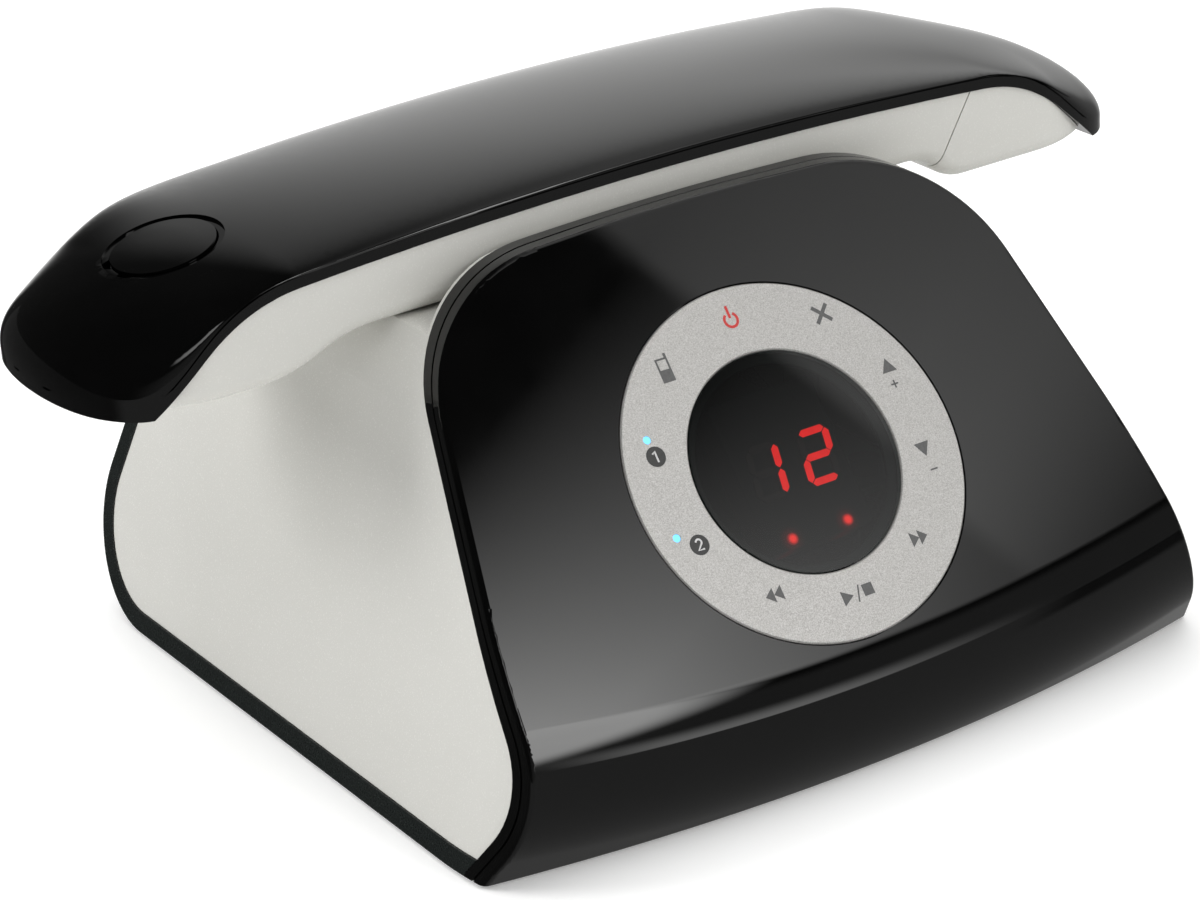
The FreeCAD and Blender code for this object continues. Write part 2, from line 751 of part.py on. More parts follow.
# ---- Handset: forms shared by its pieces ----
def parting_turns():
    """Start, middle and end of the bend where the black and pale seam turns down, on the right."""
    turn_x = handset_half - parting_turn
    first = math.degrees(math.asin(turn_x / parting_radius))
    start = V(turn_x, 0, parting_top - parting_radius * (1 - cos(first)))
    bend_centre = start - V(sin(first), 0, cos(first)) * parting_bend
    end = bend_centre + V(sin(parting_slope), 0, cos(parting_slope)) * parting_bend
    half = (first + parting_slope) / 2
    middle = bend_centre + V(sin(half), 0, cos(half)) * parting_bend
    return start, middle, end


def parting_height(x):
    """Height of the black and pale seam at a distance from the middle."""
    x = abs(x)
    start, middle, end = parting_turns()
    if x <= start.x:
        return parting_top - parting_radius + math.sqrt(parting_radius ** 2 - x ** 2)
    if x >= end.x:
        return end.z - (x - end.x) * tan(parting_slope)
    centre_x = end.x - parting_bend * sin(parting_slope)
    centre_z = end.z - parting_bend * cos(parting_slope)
    return centre_z + math.sqrt(parting_bend ** 2 - (x - centre_x) ** 2)


def above_parting(lift=0, level=0):
    """All that lies above the seam, which is lifted by lift and runs level at its ends."""
    start, middle, end = [point + V(0, 0, lift) for point in parting_turns()]
    corner_x = end.x + (end.z - level) / tan(parting_slope)
    tangent = lip_bend * tan(parting_slope / 2)
    foot_start = V(corner_x - tangent * cos(parting_slope), 0, level + tangent * sin(parting_slope))
    foot_end = V(corner_x + tangent, 0, level)
    half = parting_slope / 2
    foot_middle = foot_end + V(-sin(half), 0, 1 - cos(half)) * lip_bend
    right = [middle, end, foot_start, foot_middle, foot_end, V(FAR, 0, level)]
    line = [V(-p.x, 0, p.z) for p in reversed([start] + right)]
    line += [V(0, 0, parting_top + lift), start] + right
    p = [point + Y_AXIS * (handset_y - FAR / 2) for point in line]
    top_right = V(p[-1].x, p[-1].y, FAR)
    top_left = V(p[0].x, p[0].y, FAR)
    edges = [
        Part.LineSegment(p[0], p[1]).toShape(),
        Part.Arc(p[1], p[2], p[3]).toShape(),
        Part.LineSegment(p[3], p[4]).toShape(),
        Part.Arc(p[4], p[5], p[6]).toShape(),
        Part.Arc(p[6], p[7], p[8]).toShape(),
        Part.Arc(p[8], p[9], p[10]).toShape(),
        Part.LineSegment(p[10], p[11]).toShape(),
        Part.Arc(p[11], p[12], p[13]).toShape(),
        Part.LineSegment(p[13], p[14]).toShape(),
        Part.LineSegment(p[14], top_right).toShape(),
        Part.LineSegment(top_right, top_left).toShape(),
        Part.LineSegment(top_left, p[0]).toShape(),
    ]
    return prism(Part.Wire(edges), Y_AXIS * FAR)


def back_height(x, inset):
    """Height of the handset's arched back on its middle line, inside the skin by inset."""
    arch = handset_top - arch_radius + math.sqrt(arch_radius ** 2 - x ** 2) - inset
    end = end_height - inset
    power = roll_power[0] if x < 0 else roll_power[1]
    return end + (arch - end) * math.sqrt(1 - (abs(x) / (handset_half - inset)) ** power)


def spring_height(x, inset):
    """Height at which the dome springs from the lip: it follows the seam and levels out at the ends."""
    along = parting_height(x) + lip_height
    level = end_height - spring_drop - inset
    return (along + level + math.hypot(along - level, spring_blend)) / 2


def handset_form(inset):
    """Domed form of the handset from end to end: an arched back over upright sides, flatter inside."""
    inside = inset > lip_groove
    steps = inside_steps if inside else outside_steps
    low = cup_bottom - 20
    wires = []
    for i in range(-steps, steps + 1):
        x = (handset_half - inset) * math.sin(math.asin(end_share) * i / steps)
        share = abs(x) / (handset_half - inset)
        half = (width_half - inset) * math.sqrt(1 - share ** plan_power)
        spring = spring_height(x, inset)
        right = V(x, handset_y + half, spring)
        left = V(x, handset_y - half, spring)
        top = V(x, handset_y, back_height(x, inset))
        if inside:
            dome = Part.Arc(right, top, left)
        else:
            dome = Part.ArcOfEllipse(Part.Ellipse(right, top, V(x, handset_y, spring)), 0, math.pi)
        wires.append(Part.Wire([
            Part.LineSegment(V(x, right.y, low), right).toShape(),
            dome.toShape(),
            Part.LineSegment(left, V(x, left.y, low)).toShape(),
            Part.LineSegment(V(x, left.y, low), V(x, right.y, low)).toShape(),
        ]))
    return Part.makeLoft(wires, True, inside)


def underside_form(lift):
    """All that lies above the handset's underside, which is moved up by lift."""
    left_low, left_high = left_cup[0] - handset_half, left_cup[1] - cradle_half
    right_low, right_high = handset_half - right_cup[0], cradle_half - right_cup[1]
    drop = grip_bottom - cup_bottom
    grip = grip_bottom + lift
    cup = cup_bottom + lift
    y = handset_y - FAR / 2

    def slope(x1, z1, x2, z2):
        """Two equal arcs from level to level."""
        middle = V((x1 + x2) / 2, y, (z1 + z2) / 2)
        run = abs(x2 - x1)
        turn = math.atan2(drop, run)
        radius = math.hypot(run, drop) / 4 / math.sin(turn)
        offset = radius * (1 - math.cos(turn))
        fall = 1 if z2 < z1 else -1
        first = V(x1 + (x2 - x1) / abs(x2 - x1) * radius * math.sin(turn), y, z1 - fall * offset)
        second = V(x2 - (x2 - x1) / abs(x2 - x1) * radius * math.sin(turn), y, z2 + fall * offset)
        return [
            Part.Arc(V(x1, y, z1), first, middle).toShape(),
            Part.Arc(middle, second, V(x2, y, z2)).toShape(),
        ]

    edges = [Part.LineSegment(V(-FAR, y, cup), V(left_low, y, cup)).toShape()]
    edges += slope(left_low, cup, left_high, grip)
    edges.append(Part.LineSegment(V(left_high, y, grip), V(right_high, y, grip)).toShape())
    edges += slope(right_high, grip, right_low, cup)
    edges += [
        Part.LineSegment(V(right_low, y, cup), V(FAR, y, cup)).toShape(),
        Part.LineSegment(V(FAR, y, cup), V(FAR, y, FAR)).toShape(),
        Part.LineSegment(V(FAR, y, FAR), V(-FAR, y, FAR)).toShape(),
        Part.LineSegment(V(-FAR, y, FAR), V(-FAR, y, cup)).toShape(),
    ]
    return prism(Part.Wire(edges), Y_AXIS * FAR)


def face_form(inset):
    """Pale lower body of the handset with its two cups, inside the skin by inset."""
    step = face_step + inset
    size = (handset_length - 2 * step, handset_width - 2 * step)
    plan = soft_block(0, handset_y, cup_bottom - 5, handset_top, size, face_corner - step)
    form = plan.common(underside_form(inset))
    if inset > 0:
        return form

    def on_underside(middle, edge):
        return middle.z < grip_bottom + 0.1 and abs(middle.y - handset_y) > 5

    return form.makeFillet(face_edge, edges_near(form, on_underside))


def behind_seam(gap):
    """All that lies to the right of the battery cover's leaning seam, set back by gap."""
    x, z = handset_half - cover_seam[0], cover_seam[1]
    lean = tan(cover_seam_lean)
    low = 0
    high = FAR
    corners = [
        (x + gap + (low - z) * lean, low, 0),
        (FAR * 2, low, 0),
        (FAR * 2, high, 0),
        (x + gap + (high - z) * lean, high, 0),
    ]
    return prism(rounded_wire(corners, at_y(handset_y - FAR / 2)), Y_AXIS * FAR)


def back_key_axis():
    """Middle of the round key on the handset's back, and the way out of the surface."""
    slope = back_height(back_key_x + 1, 0) - back_height(back_key_x - 1, 0)
    out = V(-slope, 0, 2).normalize()
    return V(back_key_x, handset_y, back_height(back_key_x, 0)), out


def back_key_disc(radius, below, above):
    middle, out = back_key_axis()
    return Part.makeCylinder(radius, below + above, middle - out * below, out)


# ---- Handset: casing ----
def handset_top_shell():
    """Black arched back with its grooved lip, the round hole for the back key, and inside posts."""
    outer = handset_form(0).common(above_parting()).common(underside_form(0))
    lip_end = cup_bottom + lip_height
    groove = above_parting(lip_height, lip_end).cut(above_parting(lip_height + lip_groove, lip_end + lip_groove))
    groove = groove.cut(handset_form(lip_groove))
    body = outer.cut(groove)
    body = body.cut(handset_form(handset_wall).common(underside_form(handset_wall)))
    width, depth = back_key_groove
    around = back_key_disc(back_key_radius + width, depth, back_key_radius)
    body = body.cut(around.cut(back_key_disc(back_key_radius, FAR, FAR)))
    body = body.cut(back_key_disc(back_key_radius + back_key_gap, back_key_radius, back_key_radius))
    middle, out = back_key_axis()
    under_skin = handset_form(handset_wall / 2)
    for side in (-switch_post_y, switch_post_y):
        end = middle + Y_AXIS * side - out * (switch_board_depth() - seam_gap)
        stem = Part.makeCylinder(switch_post_radius, switch_board_depth(), end, out)
        body = body.fuse(stem.common(under_skin))
    shank, reach = handset_screw
    low = grip_bottom + handset_wall + seam_gap
    for y in handset_screw_ys():
        body = body.fuse(post(handset_screw_x, y, low, FAR / 2, handset_boss_radius).common(under_skin))
        body = body.cut(post(handset_screw_x, y, 0, grip_bottom + reach + 1, shank + fit_gap))
    return body


def handset_screw_ys():
    return (handset_y - handset_screw_at[1], handset_y + handset_screw_at[1])


def handset_face():
    """Pale lower shell: grip, receiver cup, key holes, lens seat and charge pad seats."""
    body = face_form(0).cut(face_form(handset_wall)).cut(above_parting(-seam_gap))
    body = body.cut(behind_seam(-cover_gap))
    for name, x, y, size in keypad():
        body = body.cut(key_hole(x, y, size))
    through = grip_bottom + 2 * handset_wall
    opening = (lens_size[0] - 2 * lens_ledge, lens_size[1] - 2 * lens_ledge, through - cup_bottom)
    body = body.cut(block(lens_x, handset_y, cup_bottom, opening))
    seat = (lens_size[0] + 2 * lens_gap, lens_size[1] + 2 * lens_gap)
    body = body.cut(soft_block(lens_x, handset_y, cup_bottom, grip_bottom + lens_size[2], seat, key_round))
    pad_seat = (pad_size[0], pad_size[1], grip_bottom - cup_bottom + pad_size[2])
    for y in contact_places():
        body = body.cut(block(contact_x, y, cup_bottom, pad_seat))
    head_radius, head_height, head_seat = handset_screw_head
    for y in handset_screw_ys():
        body = body.cut(post(handset_screw_x, y, 0, through, handset_screw[0] + handset_screw_gap))
        head_room = post(handset_screw_x, y, 0, grip_bottom + head_seat + fit_gap, head_radius + handset_screw_gap)
        body = body.cut(head_room)
    for x, y in receiver_pattern():
        body = body.cut(post(x, y, 0, cup_bottom + 2 * handset_wall, receiver_hole))
    return body.cut(post(mouthpiece_x, handset_y, 0, through, mouthpiece_hole))


def receiver_pattern():
    """Centre hole and a ring of holes in front of the receiver."""
    ring = [360.0 * i / receiver_holes for i in range(receiver_holes)]
    holes = [(receiver_x + receiver_circle * cos(a), handset_y + receiver_circle * sin(a)) for a in ring]
    return [(receiver_x, handset_y)] + holes


def battery_cover():
    """Pale cup at the right end, which pulls off along the sloping end seam."""
    body = face_form(0).cut(face_form(handset_wall)).cut(above_parting(-seam_gap))
    return body.common(behind_seam(cover_gap))


# ---- Handset: keys ----
def keypad():
    """Name, place and size of every key on the face; a navigator's size is its radius."""
    keys = []
    first, pitch = digit_rows
    labels = ("1", "2", "3", "4", "5", "6", "7", "8", "9", "star", "0", "pound")
    for i, label in enumerate(labels):
        x = first + (i // 3) * pitch
        y = handset_y + (i % 3 - 1) * -digit_column_pitch
        keys.append(("key_" + label, x, y, digit_key))
    rows = ((side_keys_x[0], ("soft_key_left", "soft_key_right")), (side_keys_x[1], ("talk_key", "off_key")))
    for x, pair in rows:
        for name, side in zip(pair, (1, -1)):
            keys.append((name, x, handset_y + side * side_key_y, side_key))
    keys.append(("navigator_key", navigator_x, handset_y, (2 * navigator_radius, 2 * navigator_radius)))
    return keys


def key_corner(size):
    """Corner radius of a key cap: the navigator is round."""
    round_cap = size[0] == 2 * navigator_radius
    return size[0] / 2 - 0.01 if round_cap else key_round


def key_hole(x, y, size):
    grown = (size[0] + 2 * key_gap, size[1] + 2 * key_gap)
    return soft_block(x, y, cup_bottom, grip_bottom + 2 * handset_wall, grown, key_corner(size) + key_gap)


def key_cap(x, y, size):
    """Cap that stands out of the face, with a square flange that rests inside it."""
    low = grip_bottom - key_proud
    inside = grip_bottom + handset_wall + seam_gap
    cap = soft_block(x, y, low, inside, size, key_corner(size))
    wide = (size[0] + 2 * key_flange_width, size[1] + 2 * key_flange_width, key_flange)
    return cap.fuse(block(x, y, inside, wide))


def key_membrane_height():
    return grip_bottom + handset_wall + seam_gap + key_flange + key_travel + seam_gap


def keypad_membrane():
    low = key_membrane_height()
    return soft_block(membrane_x, handset_y, low, low + membrane_size[2], membrane_size, key_round)


def handset_board():
    low = key_membrane_height() + membrane_size[2] + seam_gap
    return soft_block(handset_board_x, handset_y, low, low + handset_board_size[2], handset_board_size, key_round)


def display_lens():
    high = grip_bottom + lens_size[2] - bond_gap
    return soft_block(lens_x, handset_y, grip_bottom, high, lens_size, key_round)


def lcd_module():
    low = grip_bottom + handset_wall + seam_gap
    return block(lens_x, handset_y, low, lcd_size)


# ---- Handset: inside ----
def back_key():
    """Round key whose top follows the arched back."""
    width, gap = back_key_flange
    disc = back_key_disc(back_key_radius, back_key_cap, back_key_radius).common(handset_form(0))
    flange = back_key_disc(back_key_radius + width, back_key_depth, -back_key_cap)
    flange = flange.common(handset_form(handset_wall + gap))
    return disc.fuse(flange).removeSplitter()


def switch_board_depth():
    """How far the top of the switch's board lies below the handset's back."""
    return back_key_depth + back_key_travel + seam_gap + switch_height


def back_switch():
    """Push switch on its small board, which hangs from two posts of the top shell."""
    middle, out = back_key_axis()
    top = switch_board_depth()
    switch = Part.makeCylinder(switch_radius, switch_height, middle - out * top, out)
    half, thickness = switch_board
    length = 2 * (switch_post_y + switch_post_radius)
    along = V(out.z, 0, -out.x)
    corner = middle - along * half - Y_AXIS * (length / 2) - out * (top + thickness)
    ends = [corner, corner + along * (2 * half)]
    wire = Part.makePolygon([ends[0], ends[1], ends[1] + Y_AXIS * length, ends[0] + Y_AXIS * length, ends[0]])
    return prism(wire, out * thickness).fuse(switch).removeSplitter()


def receiver():
    low = cup_bottom + handset_wall + seam_gap
    return post(receiver_x, handset_y, low, low + receiver_thickness, receiver_radius)


def handset_microphone():
    radius, height = microphone_capsule
    low = grip_bottom + handset_wall + seam_gap
    return post(mouthpiece_x, handset_y, low, low + height, radius)


def charge_pads():
    size = (pad_size[0] - 2 * pad_gap, pad_size[1] - 2 * pad_gap, pad_size[2] - bond_gap)
    return Part.makeCompound([block(contact_x, y, grip_bottom, size) for y in contact_places()])


def battery_pack():
    """Two short cells side by side."""
    radius = battery_size[2] / 2
    low = cup_bottom + handset_wall + cell_gap
    cells = []
    for side in (-1, 1):
        start = V(battery_x - battery_size[0] / 2, handset_y + side * (radius + cell_gap / 2), low + radius)
        cells.append(Part.makeCylinder(radius, battery_size[0], start, X_AXIS))
    return Part.makeCompound(cells)


def battery_contacts():
    """Two leaf springs at the inner end of the cells."""
    radius = battery_size[2] / 2
    low = cup_bottom + handset_wall + cell_gap
    thickness, width, inset = contact_leaf
    x = battery_x - battery_size[0] / 2 - thickness / 2
    leaves = []
    for side in (-1, 1):
        y = handset_y + side * (radius + cell_gap / 2)
        leaves.append(block(x, y, low + inset, (thickness, width, battery_size[2] - 2 * inset)))
    return Part.makeCompound(leaves)


def battery_tray():
    """Open box that holds the cells from above, with an end wall behind the leaf springs."""
    left = battery_x - battery_size[0] / 2 - contact_leaf[0] - tray_skin
    right = battery_x + battery_size[0] / 2
    half = battery_size[2] + cell_gap
    roof = cup_bottom + handset_wall + 2 * cell_gap + battery_size[2]
    low = roof - tray_wrap
    outer = box((left, handset_y - half - tray_skin, low), (right, handset_y + half + tray_skin, FAR))
    outer = outer.common(handset_form(handset_wall + seam_gap))
    cells = box((left + tray_skin, handset_y - half, 0), (FAR, handset_y + half, roof))
    above = box((left + tray_skin, handset_y - half, roof + tray_skin), (FAR, handset_y + half, FAR))
    return outer.cut(cells).cut(above).removeSplitter()


def handset_screws():
    """Two screws that hold the face to the posts of the top shell."""
    shank, reach = handset_screw
    radius, height, depth = handset_screw_head
    seat = grip_bottom + depth
    screws = []
    for y in handset_screw_ys():
        cap = post(handset_screw_x, y, seat - height, seat, radius)
        pin = post(handset_screw_x, y, seat - height / 2, grip_bottom + reach, shank)
        screws.append(cap.fuse(pin).removeSplitter())
    return Part.makeCompound(screws)


# ---- All pieces ----
def build():
    front_contact, back_contact = contact_places()
    tens = digit_offset - digit_pitch
    pieces = {
        "front_cover": front_cover(),
        "base_housing": base_housing(),
        "bottom_cover": bottom_cover(),
        "touch_ring": touch_ring(),
        "display_window": display_window(),
        "display_module": display_module(),
        "tens_digit": digit(tens),
        "units_digit": digit(digit_offset),
        "status_lights": status_lights(),
        "cell_lights": cell_lights(),
        "touch_board": touch_board(),
        "main_board": main_board(),
        "base_speaker": base_speaker(),
        "base_microphone": base_microphone(),
        "aerial": aerial(),
        "line_jack": line_jack(),
        "power_jack": power_jack(),
        "charge_contact_front": charge_contact(front_contact),
        "charge_contact_back": charge_contact(back_contact),
        "contact_holder": contact_holder(),
        "base_screws": base_screws(),
        "rubber_feet": rubber_feet(),
        "handset_top_shell": handset_top_shell(),
        "handset_face": handset_face(),
        "battery_cover": battery_cover(),
        "back_key": back_key(),
        "back_switch": back_switch(),
        "receiver": receiver(),
        "handset_microphone": handset_microphone(),
        "charge_pads": charge_pads(),
        "battery_pack": battery_pack(),
        "battery_contacts": battery_contacts(),
        "battery_tray": battery_tray(),
        "handset_screws": handset_screws(),
        "display_lens": display_lens(),
        "lcd_module": lcd_module(),
        "keypad_membrane": keypad_membrane(),
        "handset_board": handset_board(),
    }
    for name, x, y, size in keypad():
        pieces[name] = key_cap(x, y, size)
    return pieces


os.makedirs("parts", exist_ok=True)
for node, shape in build().items():
    shape.exportStep("parts/" + node + ".step")
    size = shape.BoundBox
    print("%-22s solids %2d  valid %-5s  volume %9.1f  x %7.1f..%7.1f  y %6.1f..%6.1f  z %6.1f..%6.1f" % (
        node, len(shape.Solids), shape.isValid(), shape.Volume,
        size.XMin, size.XMax, size.YMin, size.YMax, size.ZMin, size.ZMax))
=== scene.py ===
# %% [markdown]
# # A cordless telephone base with a built-in answering machine
# The real thing is a small desk telephone: a wedge-shaped base with a glossy black front panel,
# pale side walls, and an arched handset that lies across the top. All rigid pieces come from the
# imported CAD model. Here they get their finishes, their printed marks and a studio to stand in.
#
# Everything is in metres, unless a comment or docstring says millimetres (mm). +X runs along the
# handset to the right, -Y is the front and +Z is up.

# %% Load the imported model
import math
import bmesh
import bpy
from mathutils import Matrix, Vector


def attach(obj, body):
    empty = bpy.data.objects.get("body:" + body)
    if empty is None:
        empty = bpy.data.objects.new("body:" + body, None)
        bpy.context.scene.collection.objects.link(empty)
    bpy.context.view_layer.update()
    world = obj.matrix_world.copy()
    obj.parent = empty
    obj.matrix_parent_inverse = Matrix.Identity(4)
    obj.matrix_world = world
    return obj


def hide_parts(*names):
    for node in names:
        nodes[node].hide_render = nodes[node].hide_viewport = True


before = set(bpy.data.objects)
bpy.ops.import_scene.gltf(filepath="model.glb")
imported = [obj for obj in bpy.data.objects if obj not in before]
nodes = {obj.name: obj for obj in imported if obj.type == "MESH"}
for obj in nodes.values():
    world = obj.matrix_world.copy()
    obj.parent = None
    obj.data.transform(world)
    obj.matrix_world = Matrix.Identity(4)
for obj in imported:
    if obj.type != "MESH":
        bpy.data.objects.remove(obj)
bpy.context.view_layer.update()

# %% [markdown]
# ## Camera
# A desk telephone shows most of itself from a little above and from one side, and a long lens keeps
# its upright lines nearly parallel. A camera can be aimed with angles or with a constraint. Here
# its matrix is written out, because the columns are simply the picture's right, up and back
# directions, and the camera's place can then be counted along them, in radii of the ring.

# %% Camera
MM = 0.001
RING_Y, RING_Z, RING_RADIUS = -49.9, 50.2, 33                               # mm
AIM_ASIDE = 0.02256866                                                      # ring radii
RING_RIGHT, RING_UP, RING_AWAY = 1.04143104, -0.0455368383, 20.3419143      # ring radii
PICTURE_WIDTH, FOCAL_LENGTH = 1200, 3889.43662                              # pixels
SENSOR_WIDTH = 36                                                           # mm

turn, lift, tilt = (math.radians(a) for a in (32.38736636, 24.53601495, -3.4796563))
back = Vector((-math.sin(turn) * math.cos(lift), -math.cos(turn) * math.cos(lift), math.sin(lift)))
level = Vector((math.cos(turn), -math.sin(turn), 0))
upward = back.cross(level)
right = level * math.cos(tilt) + upward * math.sin(tilt)
up = upward * math.cos(tilt) - level * math.sin(tilt)

ring_centre = Vector((0, RING_Y, RING_Z)) * MM
aim = ring_centre + Vector((AIM_ASIDE, 0, 0)) * RING_RADIUS * MM
place = aim - (right * RING_RIGHT + up * RING_UP - back * RING_AWAY) * RING_RADIUS * MM

camera_data = bpy.data.cameras.new("camera")
camera_data.sensor_width = SENSOR_WIDTH
camera_data.lens = FOCAL_LENGTH / PICTURE_WIDTH * SENSOR_WIDTH
camera_data.clip_start = 0.01
camera = bpy.data.objects.new("camera", camera_data)
camera.matrix_world = Matrix.Translation(place) @ Matrix((right, up, back)).transposed().to_4x4()
bpy.context.scene.collection.objects.link(camera)
bpy.context.scene.camera = camera
bpy.context.scene.view_settings.view_transform = "Standard"
print("camera at", [round(v, 3) for v in place], "lens %.1f mm" % camera_data.lens)

# %% [markdown]
# ## Writing shaders as sums
# A node tree with forty little Math nodes is hard to read. One small class stands for the output of
# a node: adding or multiplying two of them adds the Math node, so a pattern can be written as an
# expression. Every other kind of node comes from its single method `node`, which takes the type,
# the settings and the sockets.

# %% A socket that can do sums
class Signal:
    """The output socket of a shader node. Sums on it make Math nodes."""

    def __init__(self, tree, socket=None):
        self.tree = tree
        self.socket = socket

    def node(self, kind, settings=None, sockets=None, out=0):
        """Adds a node of that type, with its settings first and then its sockets."""
        made = self.tree.nodes.new(kind)
        for name, value in (settings or {}).items():
            setattr(made, name, value)
        for name, value in (sockets or {}).items():
            if isinstance(value, Signal):
                self.tree.links.new(value.socket, made.inputs[name])
            else:
                made.inputs[name].default_value = value
        return Signal(self.tree, made.outputs[out])

    def math(self, operation, *values):
        """A Math node on signals or numbers."""
        return self.node("ShaderNodeMath", {"operation": operation}, dict(enumerate(values)))

    def __add__(self, other):
        return self.math("ADD", self, other)

    def __sub__(self, other):
        return self.math("SUBTRACT", self, other)

    def __rsub__(self, other):
        return self.math("SUBTRACT", other, self)

    def __neg__(self):
        return self.math("MULTIPLY", self, -1.0)

    def __mul__(self, other):
        return self.math("MULTIPLY", self, other)

    def __truediv__(self, other):
        return self.math("DIVIDE", self, other)

    def __rtruediv__(self, other):
        return self.math("DIVIDE", other, self)

    def __pow__(self, other):
        return self.math("POWER", self, other)

    def __gt__(self, other):
        return self.math("GREATER_THAN", self, other)

    def __lt__(self, other):
        return self.math("LESS_THAN", self, other)

    def __abs__(self):
        return self.math("ABSOLUTE", self)

    __radd__ = __add__
    __rmul__ = __mul__

    def part(self, axis):
        """X, Y or Z of a vector."""
        return self.node("ShaderNodeSeparateXYZ", {}, {0: self}, "XYZ".index(axis))

    def ramp(self, low, high, start=0.0, end=1.0, smooth=True):
        """Goes from start to end while this signal goes from low to high, and stays there."""
        settings = {"interpolation_type": "SMOOTHSTEP" if smooth else "LINEAR"}
        sockets = {0: self, 1: low, 2: high, 3: start, 4: end}
        return self.node("ShaderNodeMapRange", settings, sockets)

    def blend(self, first, second):
        """A colour that goes from first to second with this signal."""
        return self.node("ShaderNodeMix", {"data_type": "RGBA"}, {0: self, 6: first, 7: second}, 2)

    def along(self, direction):
        """How far this vector reaches in a direction."""
        settings = {"operation": "DOT_PRODUCT"}
        return self.node("ShaderNodeVectorMath", settings, {0: self, 1: direction}, 1)

    def noise(self, size, detail=2.0, roughness=0.5):
        """Cloudy noise from 0 to 1 whose lumps are about size metres wide."""
        sockets = {"Vector": self, "Scale": 1 / size, "Detail": detail, "Roughness": roughness}
        return self.node("ShaderNodeTexNoise", {}, sockets)

    def bump(self, strength, depth):
        """A bent surface direction from this signal as a height of depth metres."""
        sockets = {"Height": self, "Strength": strength, "Distance": depth}
        return self.node("ShaderNodeBump", {}, sockets)


print("a Signal can do sums")


# %% From a recipe to a material
def finish(name, recipe):
    """A material whose recipe gets the surface position and gives the shader's sockets."""
    material = bpy.data.materials.new(name)
    material.use_nodes = True
    tree = material.node_tree
    shader = tree.nodes["Principled BSDF"]
    position = Signal(tree).node("ShaderNodeTexCoord", {}, {}, "Object")
    for socket, value in recipe(position).items():
        if isinstance(value, Signal):
            tree.links.new(value.socket, shader.inputs[socket])
        else:
            shader.inputs[socket].default_value = value
    return material


def grey(value):
    """A colour without a tint."""
    return (value, value, value, 1.0)


BLACK = grey(0)
print("no light at all is", BLACK)

# %% [markdown]
# ## Glossy black plastic
# The front and the handset's back are polished like a piano lid. Their own colour is almost black:
# what is seen is the studio in them. A plain mirror would do from afar, but a polished moulding
# isn't a perfect one. It has a slow waviness of a few millimetres, called orange peel, and a very
# light haze where hands and cloths have been, so one noise bends the surface and one dulls it.

# %% Glossy black
def polished_black(position):
    waves = position.noise(0.008, 1)
    haze = position.noise(0.02, 4, 0.6)
    return {
        "Base Color": haze.ramp(0.3, 0.7).blend(grey(0.0006), grey(0.0012)),
        "Roughness": haze.ramp(0.35, 0.75, 0.02, 0.045),
        "IOR": 1.5,
        "Normal": waves.bump(0.004, 0.0002),
    }


black_gloss = finish("polished_black", polished_black)
print("made", black_gloss.name)

# %% [markdown]
# ## Black tray
# The tray underneath is an ordinary black moulding, straight from the tool. It needs the fine grain
# that the tool leaves, which spreads its highlights, and a slightly cloudy colour.

# %% Tray black
def moulded_black(position):
    grain = position.noise(0.0004, 3, 0.6)
    cloud = position.noise(0.012, 2)
    return {
        "Base Color": cloud.blend((0.008, 0.0105, 0.010, 1), (0.012, 0.015, 0.014, 1)),
        "Roughness": grain.ramp(0.3, 0.7, 0.2, 0.34),
        "Normal": grain.bump(0.12, 0.00002),
    }


black_tray = finish("moulded_black", moulded_black)
print("made", black_tray.name)

# %% [markdown]
# ## Pale plastic
# The side walls, the cradle and the handset's underside are one warm, pale grey plastic with a half
# gloss. A flat colour would look like paint. Up close the plastic has a faint cloudiness and a fine
# spark-eroded grain, which breaks up its highlights, so both are laid in as noise.

# %% Pale finish
def half_gloss_pale(position):
    cloud = position.noise(0.03, 3)
    grain = position.noise(0.0003, 2, 0.6)
    tone = cloud.ramp(0.3, 0.7)
    return {
        "Base Color": tone.blend((0.640, 0.635, 0.600, 1), (0.655, 0.650, 0.615, 1)),
        "Roughness": grain.ramp(0.3, 0.7, 0.22, 0.28),
        "Normal": grain.bump(0.04, 0.00001),
    }


pale_plastic = finish("half_gloss_pale", half_gloss_pale)
print("made", pale_plastic.name)

# %% [markdown]
# ## Silver ring
# The touch ring is printed silver under a clear coat. Its colour is full of tiny metal flakes, so
# that the surface sparkles like fine sand. Modelled flakes would be far too many faces. Noise of
# about a fifth of a millimetre changes the colour, the roughness and the direction instead.

# %% Silver finish
def flaked_silver(position):
    flakes = position.noise(0.00022, 2, 0.7)
    lumps = position.noise(0.0011, 2)
    tone = flakes.ramp(0.28, 0.72) * 0.8 + lumps * 0.2
    return {
        "Base Color": tone.blend((0.37, 0.36, 0.345, 1), (0.62, 0.61, 0.595, 1)),
        "Metallic": 0.55,
        "Roughness": flakes.ramp(0.3, 0.7, 0.52, 0.32),
        "Normal": flakes.bump(0.25, 0.00004),
    }


silver = finish("flaked_silver", flaked_silver)
print("made", silver.name)

# %% [markdown]
# ## Places on the panel
# The display and the ring lie on a panel that leans back. To say where a light is, a material needs
# a place on that panel, and the node Texture Coordinate only knows X, Y and Z. Two directions, up
# the panel and out of it, turn one into the other, with the ring's centre as the zero point.

# %% Places on the panel
LEAN = math.radians(39.44)
panel_up = Vector((0, math.sin(LEAN), math.cos(LEAN)))
panel_out = Vector((0, -math.cos(LEAN), math.sin(LEAN)))


def panel_place(position):
    """The two signals x and up, in millimetres from the ring's centre."""
    x = position.part("X") * 1000
    up_the_panel = position.along(panel_up * 1000) - ring_centre.dot(panel_up) * 1000
    return x, up_the_panel


print("the panel leans back by", round(math.degrees(LEAN), 2), "degrees")

